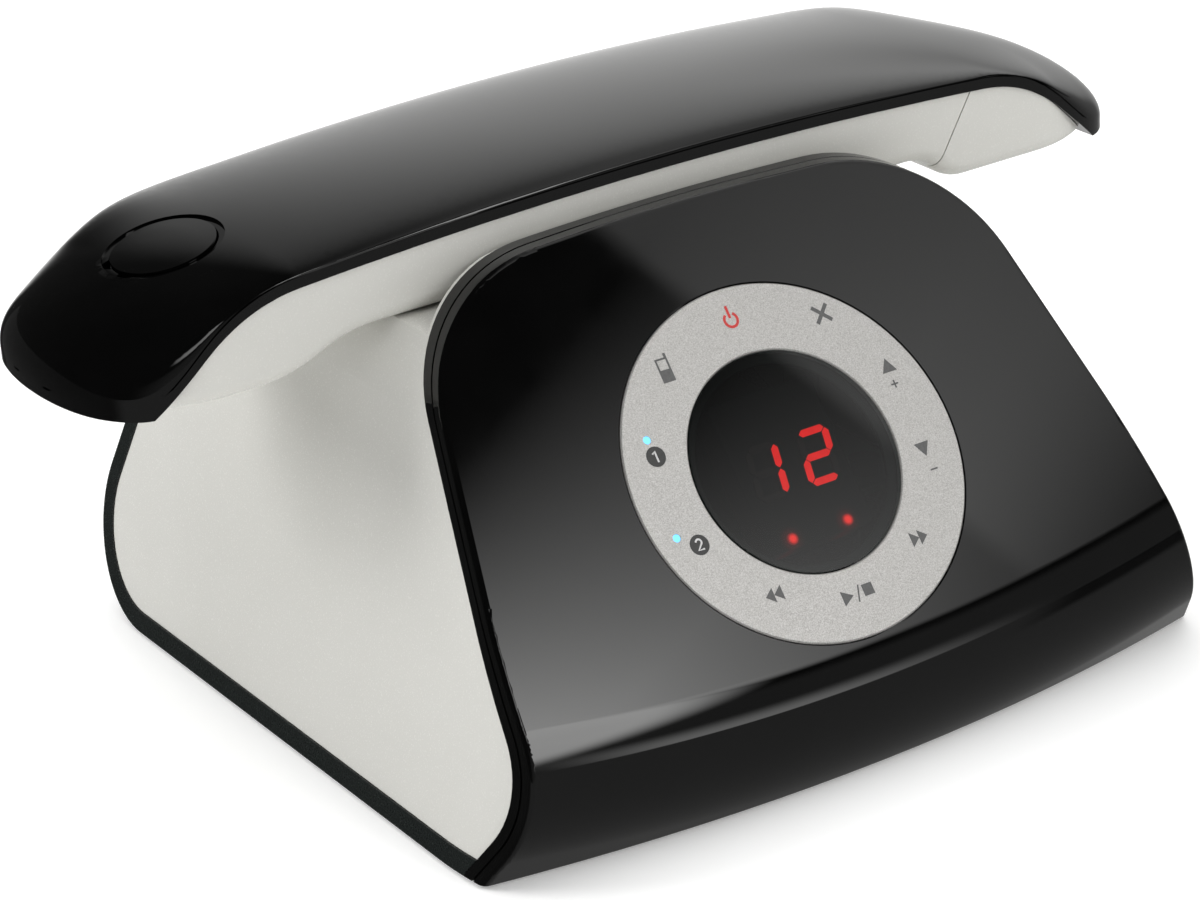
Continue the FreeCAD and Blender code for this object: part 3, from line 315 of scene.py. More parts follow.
# %% [markdown]
# ## Digits
# A seven-segment digit has all seven bars, and only some are lit. Each bar could be a material of
# its own, but a digit is one moulded light guide. So its material reads where it is on the panel,
# and puts the light out on the bars that the number doesn't use. The display shows a 12.

# %% Digits
TENS_X, UNITS_X = -5.1, 5.85                   # mm, where the digits' middles are
SLANT = math.radians(8.5)                      # how far the digits lean to the right
BAR_SPACING, HALF_DIGIT = 4.455, 2.75          # mm from a digit's middle to its outer bars
UPRIGHTS_FROM = 1.5                            # mm from a digit's middle, clear of the level bars
UNLIT_RED = (0.03, 0.004, 0.004, 1)


def to_nearest_level(up_the_panel):
    """Millimetres from a height on the panel to the nearest level bar of a digit."""
    return up_the_panel.math("MINIMUM", abs(up_the_panel), abs(abs(up_the_panel) - BAR_SPACING))


def lit_digit(centre, lit_bars):
    """The recipe of a digit. lit_bars says what shines, from the place on it and its uprights."""
    def recipe(position):
        x, up_the_panel = panel_place(position)
        across = x - centre - up_the_panel * math.tan(SLANT)
        upright = (to_nearest_level(up_the_panel) - abs(abs(across) - HALF_DIGIT)) > 0
        spread = position.noise(0.0012, 1).ramp(0.2, 0.8, 0.85, 1.0)
        shine = lit_bars(across, up_the_panel, upright) * spread
        return {
            "Base Color": UNLIT_RED,
            "Roughness": 0.5,
            "Emission Color": shine.blend(BLACK, (1.0, 0.012, 0.012, 1)),
            "Emission Strength": 3.6,
        }
    return recipe


def bars_of_one(across, _, upright):
    """The two uprights on the right."""
    return upright * (across > UPRIGHTS_FROM)


def bars_of_two(across, up_the_panel, upright):
    """All but the upper left and the lower right upright."""
    upper_left = upright * (-across > UPRIGHTS_FROM) * (up_the_panel > 0)
    lower_right = upright * (across > UPRIGHTS_FROM) * (-up_the_panel > 0)
    return 1 - upper_left - lower_right


tens = finish("lit_tens", lit_digit(TENS_X, bars_of_one))
units = finish("lit_units", lit_digit(UNITS_X, bars_of_two))
print("made", tens.name, "and", units.name)

# %% [markdown]
# ## Small lights
# Two red lights shine under the digits, and each throws a faint halo on the dark mask behind it.
# Real lamps that small would make a noisy picture. An emission that fades with the distance from
# the light's centre gives the same glow. The two blue lights in the ring are the ends of light
# pipes, with an even, milky shine.

# %% Small lights
STATUS_LIGHTS = ((-5.9, -12.4), (5.9, -12.4))       # mm on the panel


def status_glow(position, core, edge):
    """1 within core mm of a red light's centre, falling to 0 at edge mm."""
    x, up_the_panel = panel_place(position)
    left, right = (((x - across) ** 2 + (up_the_panel - height) ** 2) ** 0.5
                   for across, height in STATUS_LIGHTS)
    return left.ramp(core, edge, 1.0, 0.0) + right.ramp(core, edge, 1.0, 0.0)


def status_red(position):
    bright = status_glow(position, 0.3, 1.15)
    return {
        "Base Color": UNLIT_RED,
        "Roughness": 0.5,
        "Emission Color": bright.blend((0.12, 0.0, 0.0, 1), (1.0, 0.02, 0.015, 1)),
        "Emission Strength": 4.2,
    }


def module_face(position):
    """Dark mask behind the digits, with the red lights' halo on it."""
    halo = status_glow(position, 0.6, 2.6) * 0.16
    speck = position.noise(0.0005, 2)
    return {
        "Base Color": speck.blend((0.004, 0.006, 0.005, 1), (0.006, 0.009, 0.008, 1)),
        "Roughness": 0.6,
        "Specular IOR Level": 0.05,
        "Emission Color": halo.blend(BLACK, (1.0, 0.02, 0.01, 1)),
        "Emission Strength": 1.2,
    }


def pale_blue(position):
    milk = position.noise(0.0008, 1)
    return {
        "Base Color": (0.1, 0.45, 0.8, 1),
        "Roughness": 0.3,
        "Emission Color": milk.blend((0.12, 0.50, 0.85, 1), (0.22, 0.62, 0.92, 1)),
        "Emission Strength": 1.0,
    }


red_light = finish("status_red", status_red)
module = finish("module_face", module_face)
blue_light = finish("pale_blue", pale_blue)
print("made", red_light.name, module.name, "and", blue_light.name)

# %% [markdown]
# ## Smoked window
# The window is a smoked pane: most of what is behind it stays dark, but the lit bars shine through.
# A glass shader would bend and blur what is behind. A thin pane is better described by two shaders,
# a dark clear one for what passes and a mirror for what bounces off, mixed by how steeply the pane
# is seen. Seen from inside it is clear only, or a pane with two sides would shine twice.

# %% Smoked window
NORMAL, BACKFACING, FACING = 1, 6, 1                       # outputs of the nodes below
HEAD_ON = 0.04                                             # what plastic mirrors straight on
PANE_TILT = panel_up * 0.015 + Vector((-0.0103, 0, 0))     # glued in, it leans by a degree


def smoked_pane():
    """A dark clear pane with a mirror on top, mixed by how steeply it is seen."""
    material = bpy.data.materials.new("smoked_pane")
    material.use_nodes = True
    tree = material.node_tree
    tree.nodes.clear()
    start = Signal(tree)
    clear = start.node("ShaderNodeBsdfTransparent", {}, {"Color": (0.44, 0.48, 0.47, 1)})
    surface = start.node("ShaderNodeNewGeometry", {}, {}, NORMAL)
    tilted = start.node("ShaderNodeVectorMath", {"operation": "ADD"}, {0: surface, 1: PANE_TILT})
    mirror = start.node("ShaderNodeBsdfGlossy", {}, {
        "Color": (1, 1, 1, 1), "Roughness": 0.01, "Normal": tilted})
    inside = start.node("ShaderNodeNewGeometry", {}, {}, BACKFACING)
    facing = start.node("ShaderNodeLayerWeight", {}, {"Blend": 0.5}, FACING)
    share = (facing ** 5 * (1 - HEAD_ON) + HEAD_ON) * (1 - inside)
    mixed = start.node("ShaderNodeMixShader", {}, {0: share, 1: clear, 2: mirror})
    output = tree.nodes.new("ShaderNodeOutputMaterial")
    tree.links.new(mixed.socket, output.inputs["Surface"])
    return material


window = smoked_pane()
print("made", window.name)

# %% [markdown]
# ## Finishes for what is underneath and inside
# The circuit boards, metal, rubber and keys are seen only from below, through the sockets, or with
# the handset lifted. They could all be flat colours, but each real one has a grain of its own. One
# recipe with two tones and a grain size serves them all, apart from the board with its tracks.

# %% Small fittings
def green_board(position):
    tracks = position.node("ShaderNodeTexBrick", {}, {
        "Vector": position, "Scale": 260.0, "Mortar Size": 0.03}, 1)
    cloud = position.noise(0.01, 2)
    tone = cloud * 0.5 + tracks * 0.4
    return {
        "Base Color": tone.blend((0.012, 0.075, 0.03, 1), (0.03, 0.15, 0.06, 1)),
        "Roughness": 0.35,
        "Normal": tracks.bump(0.2, 0.00003),
    }


def plain(low, high, roughness, size=0.001, metallic=0.0, strength=0.15):
    """Recipe for a finish with a grain of size metres between two colours."""
    def recipe(position):
        grain = position.noise(size, 3, 0.6)
        return {
            "Base Color": grain.ramp(0.3, 0.7).blend(low, high),
            "Metallic": metallic,
            "Roughness": grain.ramp(0.3, 0.7, roughness * 0.85, roughness * 1.15),
            "Normal": grain.bump(strength, 0.00003),
        }
    return recipe


GOLD = (0.75, 0.62, 0.36, 1), (0.85, 0.72, 0.44, 1)
SLEEVE_BLUE = (0.03, 0.10, 0.22, 1), (0.04, 0.13, 0.28, 1)
KEY_GREY = (0.50, 0.49, 0.46, 1), (0.56, 0.55, 0.52, 1)

circuit_board = finish("green_board", green_board)
dark_fitting = finish("dark_fitting", plain(grey(0.012), grey(0.02), 0.4, 0.0006))
plated = finish("plated_metal", plain(*GOLD, 0.25, 0.0008, 1.0))
steel = finish("screw_steel", plain(grey(0.32), grey(0.42), 0.35, 0.0005, 1.0))
rubber = finish("foot_rubber", plain(grey(0.018), grey(0.032), 0.75, 0.0005, 0.0, 0.4))
membrane = finish("membrane_rubber", plain(grey(0.25), grey(0.32), 0.6, 0.001))
sleeve = finish("cell_sleeve", plain(*SLEEVE_BLUE, 0.3, 0.002))
key_plastic = finish("key_plastic", plain(*KEY_GREY, 0.35, 0.0004))
print("made eight finishes for fittings")

# %% [markdown]
# ## Giving each CAD node its finish
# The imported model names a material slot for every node. A node keeps its slot, and the slot is
# filled with the finish made here. Three nodes share a slot with others but have a finish of their
# own, so they are named.

# %% Assign the finishes
by_slot = {
    "black_gloss": black_gloss, "black_tray": black_tray, "pale_plastic": pale_plastic,
    "silver_ring": silver, "smoked_window": window, "red_light": red_light,
    "blue_light": blue_light, "circuit_board": circuit_board, "dark_fitting": dark_fitting,
    "plated_metal": plated, "screw_steel": steel, "foot_rubber": rubber,
    "membrane_rubber": membrane, "cell_sleeve": sleeve, "key_plastic": key_plastic,
}
by_node = {"tens_digit": tens, "units_digit": units, "display_module": module}
for name, thing in nodes.items():
    slot_name = thing.material_slots[0].material.name.split(".")[0]
    thing.material_slots[0].material = by_node.get(name) or by_slot[slot_name]
print("finishes on", len(nodes), "nodes")

# %% [markdown]
# ## True surface directions on the gloss
# Black gloss is a mirror, and a mirror shows every error in the direction of its surface. The CAD
# mesh is made of flat triangles with averaged directions at their corners. More triangles would
# help slowly, and the file would grow with them. On the two large gloss pieces the curves are known
# exactly, so each gets a copy whose corners carry the direction of the true curve, and the
# reflections run as smoothly as on the real moulding.

# %% A copy with true directions
def true_copy(node, name, reshape, true_normal, most=15):
    """A copy of a node whose corners reshape moves and true_normal turns, both working in mm.

    A true direction counts where it is within most degrees of the face's own, or within half of
    that of the corner's averaged one. Elsewhere the corner keeps the CAD's direction.
    """
    source = nodes[node]
    averaged = [corner.vector.copy() for corner in source.data.corner_normals]
    mesh = source.data.copy()
    mesh.name = name
    mesh.materials.clear()
    for corner in mesh.vertices:
        corner.co = Vector(reshape(*(v / MM for v in corner.co))) * MM
    mesh.update()
    to_face, to_averaged = math.cos(math.radians(most)), math.cos(math.radians(most / 2))
    directions, better = [], 0
    for face in mesh.polygons:
        for loop in face.loop_indices:
            place = mesh.vertices[mesh.loops[loop].vertex_index].co
            known = [out for out in true_normal(*(v / MM for v in place))
                     if out.dot(face.normal) > to_face or out.dot(averaged[loop]) > to_averaged]
            directions.append(known[0] if known else averaged[loop])
            better += bool(known)
    mesh.normals_split_custom_set(directions)
    mesh.materials.append(source.material_slots[0].material)
    piece = bpy.data.objects.new(name, mesh)
    bpy.context.scene.collection.objects.link(piece)
    print(name, "has", len(mesh.polygons), "faces,", better, "of", len(directions),
          "corners on a known curve")
    return piece


print("a copy is made from a node and the equation of its curve")

# %% [markdown]
# ## The front's three surfaces
# Seen from the side, the front is a straight panel that leans back, a round nose, and a straight
# undercut. All three are swept along one flat bow, so the nose's centre moves with x, and a point's
# direction follows from the side of the section that it lies on.

# %% The front's section
NOSE_RADIUS, BOW_RADIUS = 19.5, 380.0        # mm
TOE_Y, TOE_Z = -72.2, 0.8                    # mm, where the undercut ends
UNDERCUT = math.radians(33)
ON_FRONT = 0.1                               # mm off the curve that still counts as on it

PANEL_SIDE = Vector((math.sin(LEAN), math.cos(LEAN)))
UNDERCUT_SIDE = Vector((math.sin(UNDERCUT), -math.cos(UNDERCUT)))


def nose_section(x):
    """The nose's centre at x as a (y, z) pair in mm, and how far it moves for each mm of x."""
    root = math.sqrt(BOW_RADIUS ** 2 - x ** 2)
    steepness = math.tan(LEAN) + math.tan(UNDERCUT)
    z = (TOE_Y + (BOW_RADIUS - root) + TOE_Z * math.tan(UNDERCUT) - RING_Y
         + RING_Z * math.tan(LEAN)) / steepness
    corner = Vector((RING_Y - (RING_Z - z) * math.tan(LEAN), z))
    between = (PANEL_SIDE + UNDERCUT_SIDE).normalized()
    half = math.acos(PANEL_SIDE.dot(UNDERCUT_SIDE)) / 2
    drift = x / root / steepness
    return corner + between * NOSE_RADIUS / math.sin(half), Vector((drift * math.tan(LEAN), drift))


def front_normals(x, y, z):
    """The front's true direction at a point in mm, or nothing if the point isn't on the front."""
    centre, drift = nose_section(x)
    reach = Vector((y, z)) - centre
    out = reach.normalized()
    if reach.dot(PANEL_SIDE) >= 0:
        out = Vector((-math.cos(LEAN), math.sin(LEAN)))
    elif reach.dot(UNDERCUT_SIDE) >= 0:
        out = Vector((-math.cos(UNDERCUT), -math.sin(UNDERCUT)))
    if abs(reach.dot(out) - NOSE_RADIUS) > ON_FRONT:
        return []
    return [Vector((-out.dot(drift), out[0], out[1])).normalized()]


print("nose centre in the middle, in mm:", [round(v, 2) for v in nose_section(0)[0]])

# %% Front cover
front = true_copy("front_cover", "front_panel", lambda x, y, z: (x, y, z), front_normals)
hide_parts("front_cover")
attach(front, "base")

# %% [markdown]
# ## The handset's back
# The arched back is a superellipse in plan, closed at both ends by a quick round. Across, it is an
# upright wall that turns into half an ellipse. One equation that is 0 on the surface says all that,
# and its slope is the surface's direction. The CAD's loft dips by about a millimetre beside both
# tips, so in the copy the outer corners near the tips slide along the handset onto the curve.

# %% The seam
SEAM_TOP, SEAM_RADIUS, SEAM_SPAN = 93.2, 1000, 73              # mm, a flat arc over the middle
BEND_X, BEND_Z, BEND_RADIUS, BEND_END = 70.81, 60.612, 30, 90.884
END_TOP, END_FALL = 82.906, math.radians(42)                   # then straight down to the tips


def seam_height(x):
    """Height in mm of the seam between the black back and the pale face."""
    x = abs(x)
    if x <= SEAM_SPAN:
        return SEAM_TOP - SEAM_RADIUS + math.sqrt(SEAM_RADIUS ** 2 - x ** 2)
    if x <= BEND_END:
        return BEND_Z + math.sqrt(BEND_RADIUS ** 2 - (x - BEND_X) ** 2)
    return END_TOP - (x - BEND_END) * math.tan(END_FALL)


print("seam height in mm:", {x: round(seam_height(x), 1) for x in (0, 80, 110)})

# %% The back's equation
HANDSET_Y, HALF_LENGTH, HALF_WIDTH = 15.4, 111.2, 27.3         # mm
ARCH_TOP, ARCH_RADIUS, TIP_Z = 99.9, 549.0, 76                 # mm
PLAN_POWER, LEFT_POWER, RIGHT_POWER = 20, 14, 8                # the higher, the squarer the end
LIP, WALL_TOP, EASE = 2, 75.5, 3                               # mm
JUST_INSIDE = 0.9999999                                        # of the half length


def handset_out(x, y, z):
    """Below 0 inside the handset's back, 0 on it, above 0 outside."""
    share = min(abs(x) / HALF_LENGTH, JUST_INSIDE)
    half_width = HALF_WIDTH * math.sqrt(1 - share ** PLAN_POWER)
    arch = ARCH_TOP - ARCH_RADIUS + math.sqrt(ARCH_RADIUS ** 2 - x ** 2)
    end_power = LEFT_POWER if x < 0 else RIGHT_POWER
    top = TIP_Z + (arch - TIP_Z) * math.sqrt(1 - share ** end_power)
    low = seam_height(x) + LIP
    spring = (low + WALL_TOP + math.hypot(low - WALL_TOP, EASE)) / 2
    across = ((y - HANDSET_Y) / half_width) ** 2
    if z <= spring:
        return across - 1
    if top <= spring:
        return 1.0
    return across + ((z - spring) / (top - spring)) ** 2 - 1


print("handset middle, top and a point above:",
      [round(handset_out(0, HANDSET_Y, z), 3) for z in (95, ARCH_TOP, 101)])

# %% Corners and directions of the back
TIPS_FROM, BELOW_SEAM, FADE = 92, 0.4, 6       # mm: where corners slide, and how the seam follows
MOST_SLIDE, HALVINGS = 1.6, 40                 # mm, and how often the search halves it
ON_BACK = 0.12                                 # mm off the curve that still counts as on it


def handset_reshape(x, y, z):
    """Slides a corner of the outer surface near a tip onto the exact curve."""
    seam = seam_height(x)
    if abs(x) < TIPS_FROM or z < seam - BELOW_SEAM:
        return x, y, z
    side = math.copysign(1, x)
    follow = max(0.0, 1 - max(0.0, z - seam) / FADE)

    def slid(t):
        moved = min(abs(x) + t, HALF_LENGTH) * side
        return moved, y, z + follow * (seam_height(moved) - seam)

    inward, outward = -MOST_SLIDE, MOST_SLIDE
    if handset_out(*slid(inward)) > 0 or handset_out(*slid(outward)) < 0:
        return x, y, z
    for _ in range(HALVINGS):
        middle = (inward + outward) / 2
        if handset_out(*slid(middle)) > 0:
            outward = middle
        else:
            inward = middle
    return slid(inward)


def handset_normals(x, y, z):
    """The back's true direction at a point in mm, or nothing if the point isn't on the back."""
    step = 0.01
    x = min(abs(x), HALF_LENGTH - 2 * step) * math.copysign(1, x)
    slope = Vector((
        handset_out(x + step, y, z) - handset_out(x - step, y, z),
        handset_out(x, y + step, z) - handset_out(x, y - step, z),
        handset_out(x, y, z + step) - handset_out(x, y, z - step))) / (2 * step)
    if slope.length < 1e-6 or abs(handset_out(x, y, z)) / slope.length > ON_BACK:
        return []
    return [slope.normalized()]


print("direction on top of the handset:", handset_normals(0, HANDSET_Y, ARCH_TOP)[0])

# %% Handset back
arched_back = true_copy("handset_top_shell", "handset_back", handset_reshape, handset_normals, 25)
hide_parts("handset_top_shell")
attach(arched_back, "handset")

# %% [markdown]
# ## Marks on the ring
# The ring's functions are told by small printed marks: power, louder, softer, skip, play or stop,
# and find the handset. They could be painted by the ring's material, but sums for that many
# outlines are slow and blurred at the edge. A print is a film of ink a few hundredths of a
# millimetre thick, so each mark is a very flat prism on the ring's face.

# %% Inks
slate_ink = finish("slate_ink", plain(grey(0.085), grey(0.11), 0.45, 0.0005))
red_ink = finish("red_ink", plain((0.52, 0.03, 0.03, 1), (0.60, 0.04, 0.035, 1), 0.45, 0.0005))
badge_ink = finish("badge_ink", plain(grey(0.03), grey(0.04), 0.4, 0.0005))
number_ink = finish("number_ink", plain(grey(0.55), grey(0.62), 0.45, 0.0005))
print("mixed", slate_ink.name, red_ink.name, badge_ink.name, "and", number_ink.name)

# %% Printing
INK = 0.14, 0.19                 # mm in front of the panel, from the ring's face to the ink's top
INK_ON_BADGE = 0.185, 0.215


def on_panel(x, up_the_panel, height):
    """A point in metres, from mm on the panel and in front of it, with the ring's centre as 0."""
    across = ring_centre + Vector((x, 0, 0)) * MM
    return across + panel_up * up_the_panel * MM + panel_out * height * MM


def printed(name, outlines, ink, heights=INK):
    """A piece of thin prisms on the ring's face, one for each outline in mm."""
    work = bmesh.new()
    for outline in outlines:
        under, over = ([work.verts.new(on_panel(x, y, height)) for x, y in outline]
                       for height in heights)
        work.faces.new(over)
        work.faces.new(under[::-1])
        for i in range(len(outline)):
            j = (i + 1) % len(outline)
            work.faces.new((under[i], under[j], over[j], over[i]))
    bmesh.ops.recalc_face_normals(work, faces=work.faces)
    bmesh.ops.triangulate(work, faces=[face for face in work.faces if len(face.verts) > 4])
    mesh = bpy.data.meshes.new(name)
    work.to_mesh(mesh)
    work.free()
    mesh.materials.append(ink)
    piece = bpy.data.objects.new(name, mesh)
    bpy.context.scene.collection.objects.link(piece)
    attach(piece, "base")
    print(name, "printed from", len(outlines), "outline" + "s" * (len(outlines) > 1))


print("ink is", round(1000 * (INK[1] - INK[0])), "micrometres thick")

# %% [markdown]
# ## Outlines
# Every outline is a list of points in millimetres round its own middle. A few helpers draw the
# shapes that the marks are made of, and one more turns a shape and moves it to its place.

# %% Outlines
def moved(points, centre, turned=0.0):
    """Points turned by degrees and moved to a centre."""
    c, s = math.cos(math.radians(turned)), math.sin(math.radians(turned))
    return [(centre[0] + x * c - y * s, centre[1] + x * s + y * c) for x, y in points]


def stroke(points, width):
    """The outline of a line of a width along points."""
    left, right_side = [], []
    for i, (x, y) in enumerate(points):
        before, after = points[max(i - 1, 0)], points[min(i + 1, len(points) - 1)]
        way = Vector((after[0] - before[0], after[1] - before[1])).normalized() * width / 2
        left.append((x - way.y, y + way.x))
        right_side.append((x + way.y, y - way.x))
    return left + right_side[::-1]


def arc(radius, start, end, steps=20):
    """Points on a circle from one angle to another, in degrees."""
    angles = [math.radians(start + (end - start) * i / steps) for i in range(steps + 1)]
    return [(radius * math.cos(a), radius * math.sin(a)) for a in angles]


def triangle(width, height):
    """A triangle that points to the right."""
    return [(-width / 2, -height / 2), (width / 2, 0), (-width / 2, height / 2)]


def cross(reach, width):
    """An upright plus of two bars."""
    w = width / 2
    return [(-reach, -w), (-w, -w), (-w, -reach), (w, -reach), (w, -w), (reach, -w),
            (reach, w), (w, w), (w, reach), (-w, reach), (-w, w), (-reach, w)]


def bar(x_low, y_low, x_high, y_high):
    """A rectangle from its two corners."""
    return [(x_low, y_low), (x_high, y_low), (x_high, y_high), (x_low, y_high)]


print("a plus has", len(cross(1, 1)), "points")

# %% [markdown]
# ## The marks in their places
# Each mark is one piece, even where it has several outlines, because it is one sign. The places are
# in millimetres from the ring's centre. The two wireless links have plain round badges, and their
# numbers are printed on top of the badges' ink.

# %% Power and cross
POWER = (-0.4, 27.15)
printed("power_mark", [
    moved(stroke(arc(1.3, 125, 415), 0.5), POWER),
    moved(bar(-0.25, 0.35, 0.25, 2.65), POWER),
], red_ink)
printed("cross_mark", [moved(cross(2.2, 0.72), (17.3, 23.3), 45)], slate_ink)

# %% Volume, skip, play and stop
arrow, skip = triangle(2.6, 3.1), triangle(1.75, 2.7)
printed("volume_marks", [
    moved(arrow, (25.4, 10.9), 90),
    moved(arrow, (25.1, -5.4), -90),
    moved(cross(0.75, 0.3), (25.25, 7.3)),
    moved(bar(-0.75, -0.15, 0.75, 0.15), (25.4, -9.3)),
], slate_ink)
printed("skip_marks", [
    moved(skip, (15.75, -19.8)), moved(skip, (17.5, -19.8)),
    moved(skip, (-14.1, -20.7), 180), moved(skip, (-15.85, -20.7), 180),
], slate_ink)
printed("play_stop_mark", [
    moved(triangle(2.3, 2.7), (-1.65, -25.4)),
    stroke([(0.1, -26.8), (1.1, -23.9)], 0.28),
    moved(bar(-1.05, -1.05, 1.05, 1.05), (2.7, -25.2)),
], slate_ink)

# %% Find the handset, and the two badges
find_bars = ((-1.25, -2.5, 1.25, -0.2), (-1.25, -0.2, -0.9, 1.6), (0.9, -0.2, 1.25, 1.6),
             (-1.25, 1.6, 1.25, 1.95), (0.75, 1.95, 1.25, 2.7))
printed("find_mark", [moved(bar(*corners), (-16.7, 22.5)) for corners in find_bars],
        slate_ink)

BADGES = ((-25.3, 8.4), (-24.45, -8.35))
printed("round_badges", [moved(arc(1.85, 0, 348, 29), centre) for centre in BADGES],
        badge_ink)
number_one = stroke([(-0.5, 0.55), (0.1, 1.0), (0.1, -1.05)], 0.34)
curl = [(x, y + 0.45) for x, y in arc(0.55, 165, -35, 12)]
number_two = stroke(curl + [(-0.55, -0.9), (0.65, -0.9)], 0.34)
printed("badge_numbers", [moved(number_one, BADGES[0]), moved(number_two, BADGES[1])],
        number_ink, INK_ON_BADGE)

# %% [markdown]
# ## Floor
# The telephone stands on a wide sheet of white paper. A backdrop could curve up behind it, but a
# flat sheet under a white sky looks the same. A faint glow of its own keeps the paper white beyond
# the lamps. Mirror rays don't see it, because the gloss gets its floor from the room below.

# %% Floor
REACH = 6
floor_mesh = bpy.data.meshes.new("floor")
floor_mesh.from_pydata([(-REACH, -REACH, 0), (REACH, -REACH, 0), (REACH, REACH, 0),
                        (-REACH, REACH, 0)], [], [(0, 1, 2, 3)])
floor = bpy.data.objects.new("floor", floor_mesh)
bpy.context.scene.collection.objects.link(floor)


def paper(position):
    fibre = position.noise(0.02, 3)
    return {
        "Base Color": fibre.blend(grey(0.86), grey(0.88)),
        "Roughness": 0.9,
        "Specular IOR Level": 0.1,
        "Emission Color": (1.0, 1.0, 0.99, 1),
        "Emission Strength": 0.25,
    }


floor_mesh.materials.append(finish("paper", paper))
floor.visible_glossy = False
print("floor laid,", 2 * REACH, "m wide")

# %% [markdown]
# ## Lamps
# Three square lamps light what isn't a mirror: a large one overhead, one from behind on the left
# for the pale side wall, and a weak one in front. Large lamps throw soft shadows. The gloss would
# show them as bright squares, so mirror rays pass them by.

# %% Lamps
def soft_lamp(name, place, aim, size, power):
    """A square lamp at place that looks at aim."""
    data = bpy.data.lights.new(name, "AREA")
    data.size = size
    data.energy = power
    lamp = bpy.data.objects.new(name, data)
    lamp.location = place
    lamp.rotation_euler = (Vector(place) - Vector(aim)).to_track_quat("Z", "Y").to_euler()
    lamp.visible_glossy = False
    bpy.context.scene.collection.objects.link(lamp)


soft_lamp("ceiling", (0.0, 0.1, 1.6), (0, 0, 0), 2.6, 31)
soft_lamp("left_fill", (-1.3, 0.9, 0.9), (0, 0, 0.04), 0.8, 17)
soft_lamp("front_fill", (0.5, -1.7, 0.8), (0, 0, 0), 1.2, 4)
print("three lamps hung")

# %% [markdown]
# ## The room in the gloss
# Black gloss shows the room as a mirror does, so most of its look is the room's. Real walls and
# screens could be modelled, but they would have to be very large and far away. The world's colour
# is a function of direction, so the room is written as sums on two angles in degrees: the azimuth,
# which is 0 straight ahead of the panel and 90 to its right, and the elevation above the horizon.
# A pair of angles is where a soft edge starts and ends.

# %% Two angles
world = bpy.data.worlds.new("studio")
bpy.context.scene.world = world
world.use_nodes = True
room = Signal(world.node_tree)
direction = room.node("ShaderNodeTexCoord", {}, {}, "Generated")
azimuth = room.math("ARCTAN2", direction.part("X"), -direction.part("Y")) * math.degrees(1)
elevation = room.math("ARCSINE", direction.part("Z")) * math.degrees(1)


def heading(azimuth, elevation):
    """The direction of two angles in degrees."""
    a, e = math.radians(azimuth), math.radians(elevation)
    return Vector((math.sin(a) * math.cos(e), -math.cos(a) * math.cos(e), math.sin(e)))


def soft_spot(azimuth, elevation, core, edge):
    """1 within core degrees of a heading, 0 beyond edge degrees."""
    closeness = direction.along(heading(azimuth, elevation))
    return closeness.ramp(math.cos(math.radians(edge)), math.cos(math.radians(core)))


print("a room of two angles; to the panel's right is", heading(90, 0))

# %% [markdown]
# ## Screen
# A wide white screen stands on the right and reaches round behind. It could be one even white, but
# then every curve in the gloss would look alike. So its left edge is hard, its top slants, its near
# part hangs clear of the floor, and low down it is a little dimmer up to its brightest place.

# %% Screen
SCREEN_LEFT, SCREEN_RIGHT = (44.5, 44.9), (171, 161)             # azimuths
SCREEN_SLANT, SCREEN_TOP = (1, -0.1395, -0.3931), (-0.15, 0.22)  # a direction, and shares of it
SCREEN_FOOT, FOOT_DROPS = (34.8, 38.6), (85, 115)                # elevations, azimuths
DIM_BELOW, DIM_UP_TO, DIMMED_BY = (25, 12), (146, 136), 0.45     # elevations, azimuths, share
BRIGHTEST = 145, 15, 5, 50                                       # a soft spot
SCREEN_STRENGTH, BRIGHTER_BY = 0.72, 0.45

screen_edge = azimuth.ramp(*SCREEN_LEFT, smooth=False)
screen_top = direction.along(SCREEN_SLANT).ramp(*SCREEN_TOP)
screen_foot = room.math("MAXIMUM", elevation.ramp(*SCREEN_FOOT), azimuth.ramp(*FOOT_DROPS))
screen_end = azimuth.ramp(*SCREEN_RIGHT)
screen_dip = 1 - elevation.ramp(*DIM_BELOW) * azimuth.ramp(*DIM_UP_TO) * DIMMED_BY
screen_level = soft_spot(*BRIGHTEST) * BRIGHTER_BY + SCREEN_STRENGTH
screen = screen_edge * screen_top * screen_foot * screen_end * screen_dip * screen_level
print("screen hung from azimuth", SCREEN_LEFT[0], "to", SCREEN_RIGHT[0])

# %% [markdown]
# ## Lamp, low band and box
# Left of the screen hangs a bright lamp. It fades slowly to the left and quickly to the right, its
# top is straight, and its lower edge climbs to the right until it is level. A bright band low on
# the same side lights the nose. The wall's foot is a dim grey, and a small round box hangs on the
# left. The rest is nearly dark, so the gloss stays black there.

# %% Lamp, low band and box
LAMP_AZIMUTH, LAMP_RIGHT, LAMP_LEFT = 36.3, 4.5, 90.0            # and the degrees it fades over
LAMP_TOP, LAMP_START = (43.8, 39.6), (14, 20)                    # elevations, azimuths
LAMP_CLIMB, LAMP_DROP, LAMP_FOOT = 1.5, 19.5, 36.0               # slope, then degrees
FOOT_BLUR = -3.0, 2.4                                            # degrees above the lower edge
BAND_TOP, BAND_RIGHT, BAND_LEFT = (15.5, 5.5), (38.5, 29), (20, 26)
WALL_TOP_EDGE, WALL_RIGHT, WALL_LEFT = (33, 26), (52, 46), (-60, -20)
LEFT_BOX = -35, 44, 5, 9                                         # a soft spot
LAMP_STRENGTH, BAND_STRENGTH, WALL_STRENGTH, BOX_STRENGTH, DIM_ROOM = 6.4, 2.2, 0.17, 3.0, 0.03

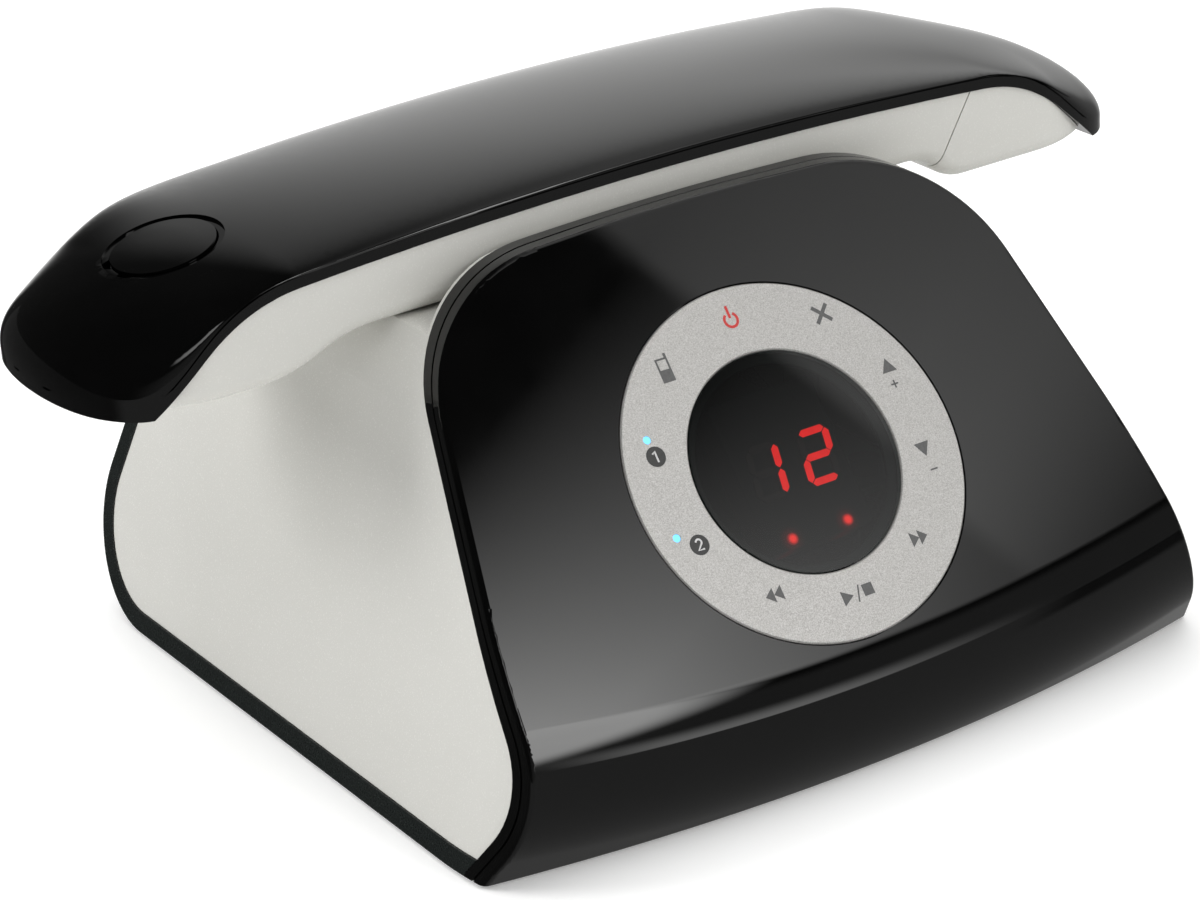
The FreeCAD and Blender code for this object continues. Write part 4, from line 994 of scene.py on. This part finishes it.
lamp_edge = room.math("MINIMUM", azimuth * LAMP_CLIMB - LAMP_DROP, LAMP_FOOT)
lamp_level = elevation.ramp(*LAMP_TOP, smooth=False) * (elevation - lamp_edge).ramp(*FOOT_BLUR)
lamp_aside = room.math("MAXIMUM", (azimuth - LAMP_AZIMUTH) / LAMP_RIGHT,
                       (LAMP_AZIMUTH - azimuth) / LAMP_LEFT)
lamp_fade = room.math("EXPONENT", -lamp_aside)
lamp = lamp_fade * lamp_level * azimuth.ramp(*LAMP_START) * LAMP_STRENGTH

band = elevation.ramp(*BAND_TOP) * azimuth.ramp(*BAND_RIGHT) * azimuth.ramp(*BAND_LEFT)
wall_foot = elevation.ramp(*WALL_TOP_EDGE) * WALL_STRENGTH * azimuth.ramp(*WALL_RIGHT)
skirting = wall_foot * azimuth.ramp(*WALL_LEFT) + band * BAND_STRENGTH
left_box = soft_spot(*LEFT_BOX) * BOX_STRENGTH
above_floor = screen + lamp + skirting + left_box + DIM_ROOM
print("lamp hung at azimuth", LAMP_AZIMUTH)

# %% [markdown]
# ## Mirrored floor
# Below the horizon the gloss shows a dim floor, darker on the far left and in one corner at the
# front right. A real floor would mirror the object as well, and this one needs no second object.
# The line between floor and wall is hard in front and lost behind on the right. The camera itself
# sees plain white past the paper's end, whatever the gloss shows.

# %% Mirrored floor
HORIZON, HORIZON_LOST = (4.4, 4.8), (105, 118)                   # elevations, azimuths
CORNER_LEFT, CORNER_RIGHT, CORNER_TOP = (36.5, 39.5), (60, 50), (-8, -2)
FAR_LEFT = (-60, -85)                                            # azimuths
FLOOR_STRENGTH, DARKER_BY = 0.29, 0.22
CAMERA_RAY = 0                                                   # output of Light Path

corner = azimuth.ramp(*CORNER_LEFT) * azimuth.ramp(*CORNER_RIGHT) * elevation.ramp(*CORNER_TOP)
dark_floor = FLOOR_STRENGTH - corner * DARKER_BY - azimuth.ramp(*FAR_LEFT) * DARKER_BY
is_up = room.math("MAXIMUM", elevation.ramp(*HORIZON, smooth=False), azimuth.ramp(*HORIZON_LOST))
mirrored = is_up * above_floor + (1 - is_up) * dark_floor
seen_directly = room.node("ShaderNodeLightPath", {}, {}, CAMERA_RAY)
brightness = seen_directly + (1 - seen_directly) * mirrored
backdrop = world.node_tree.nodes["Background"]
world.node_tree.links.new(brightness.socket, backdrop.inputs["Strength"])
backdrop.inputs["Color"].default_value = (1.0, 1.0, 0.99, 1)
print("room made with", len(world.node_tree.nodes), "nodes")
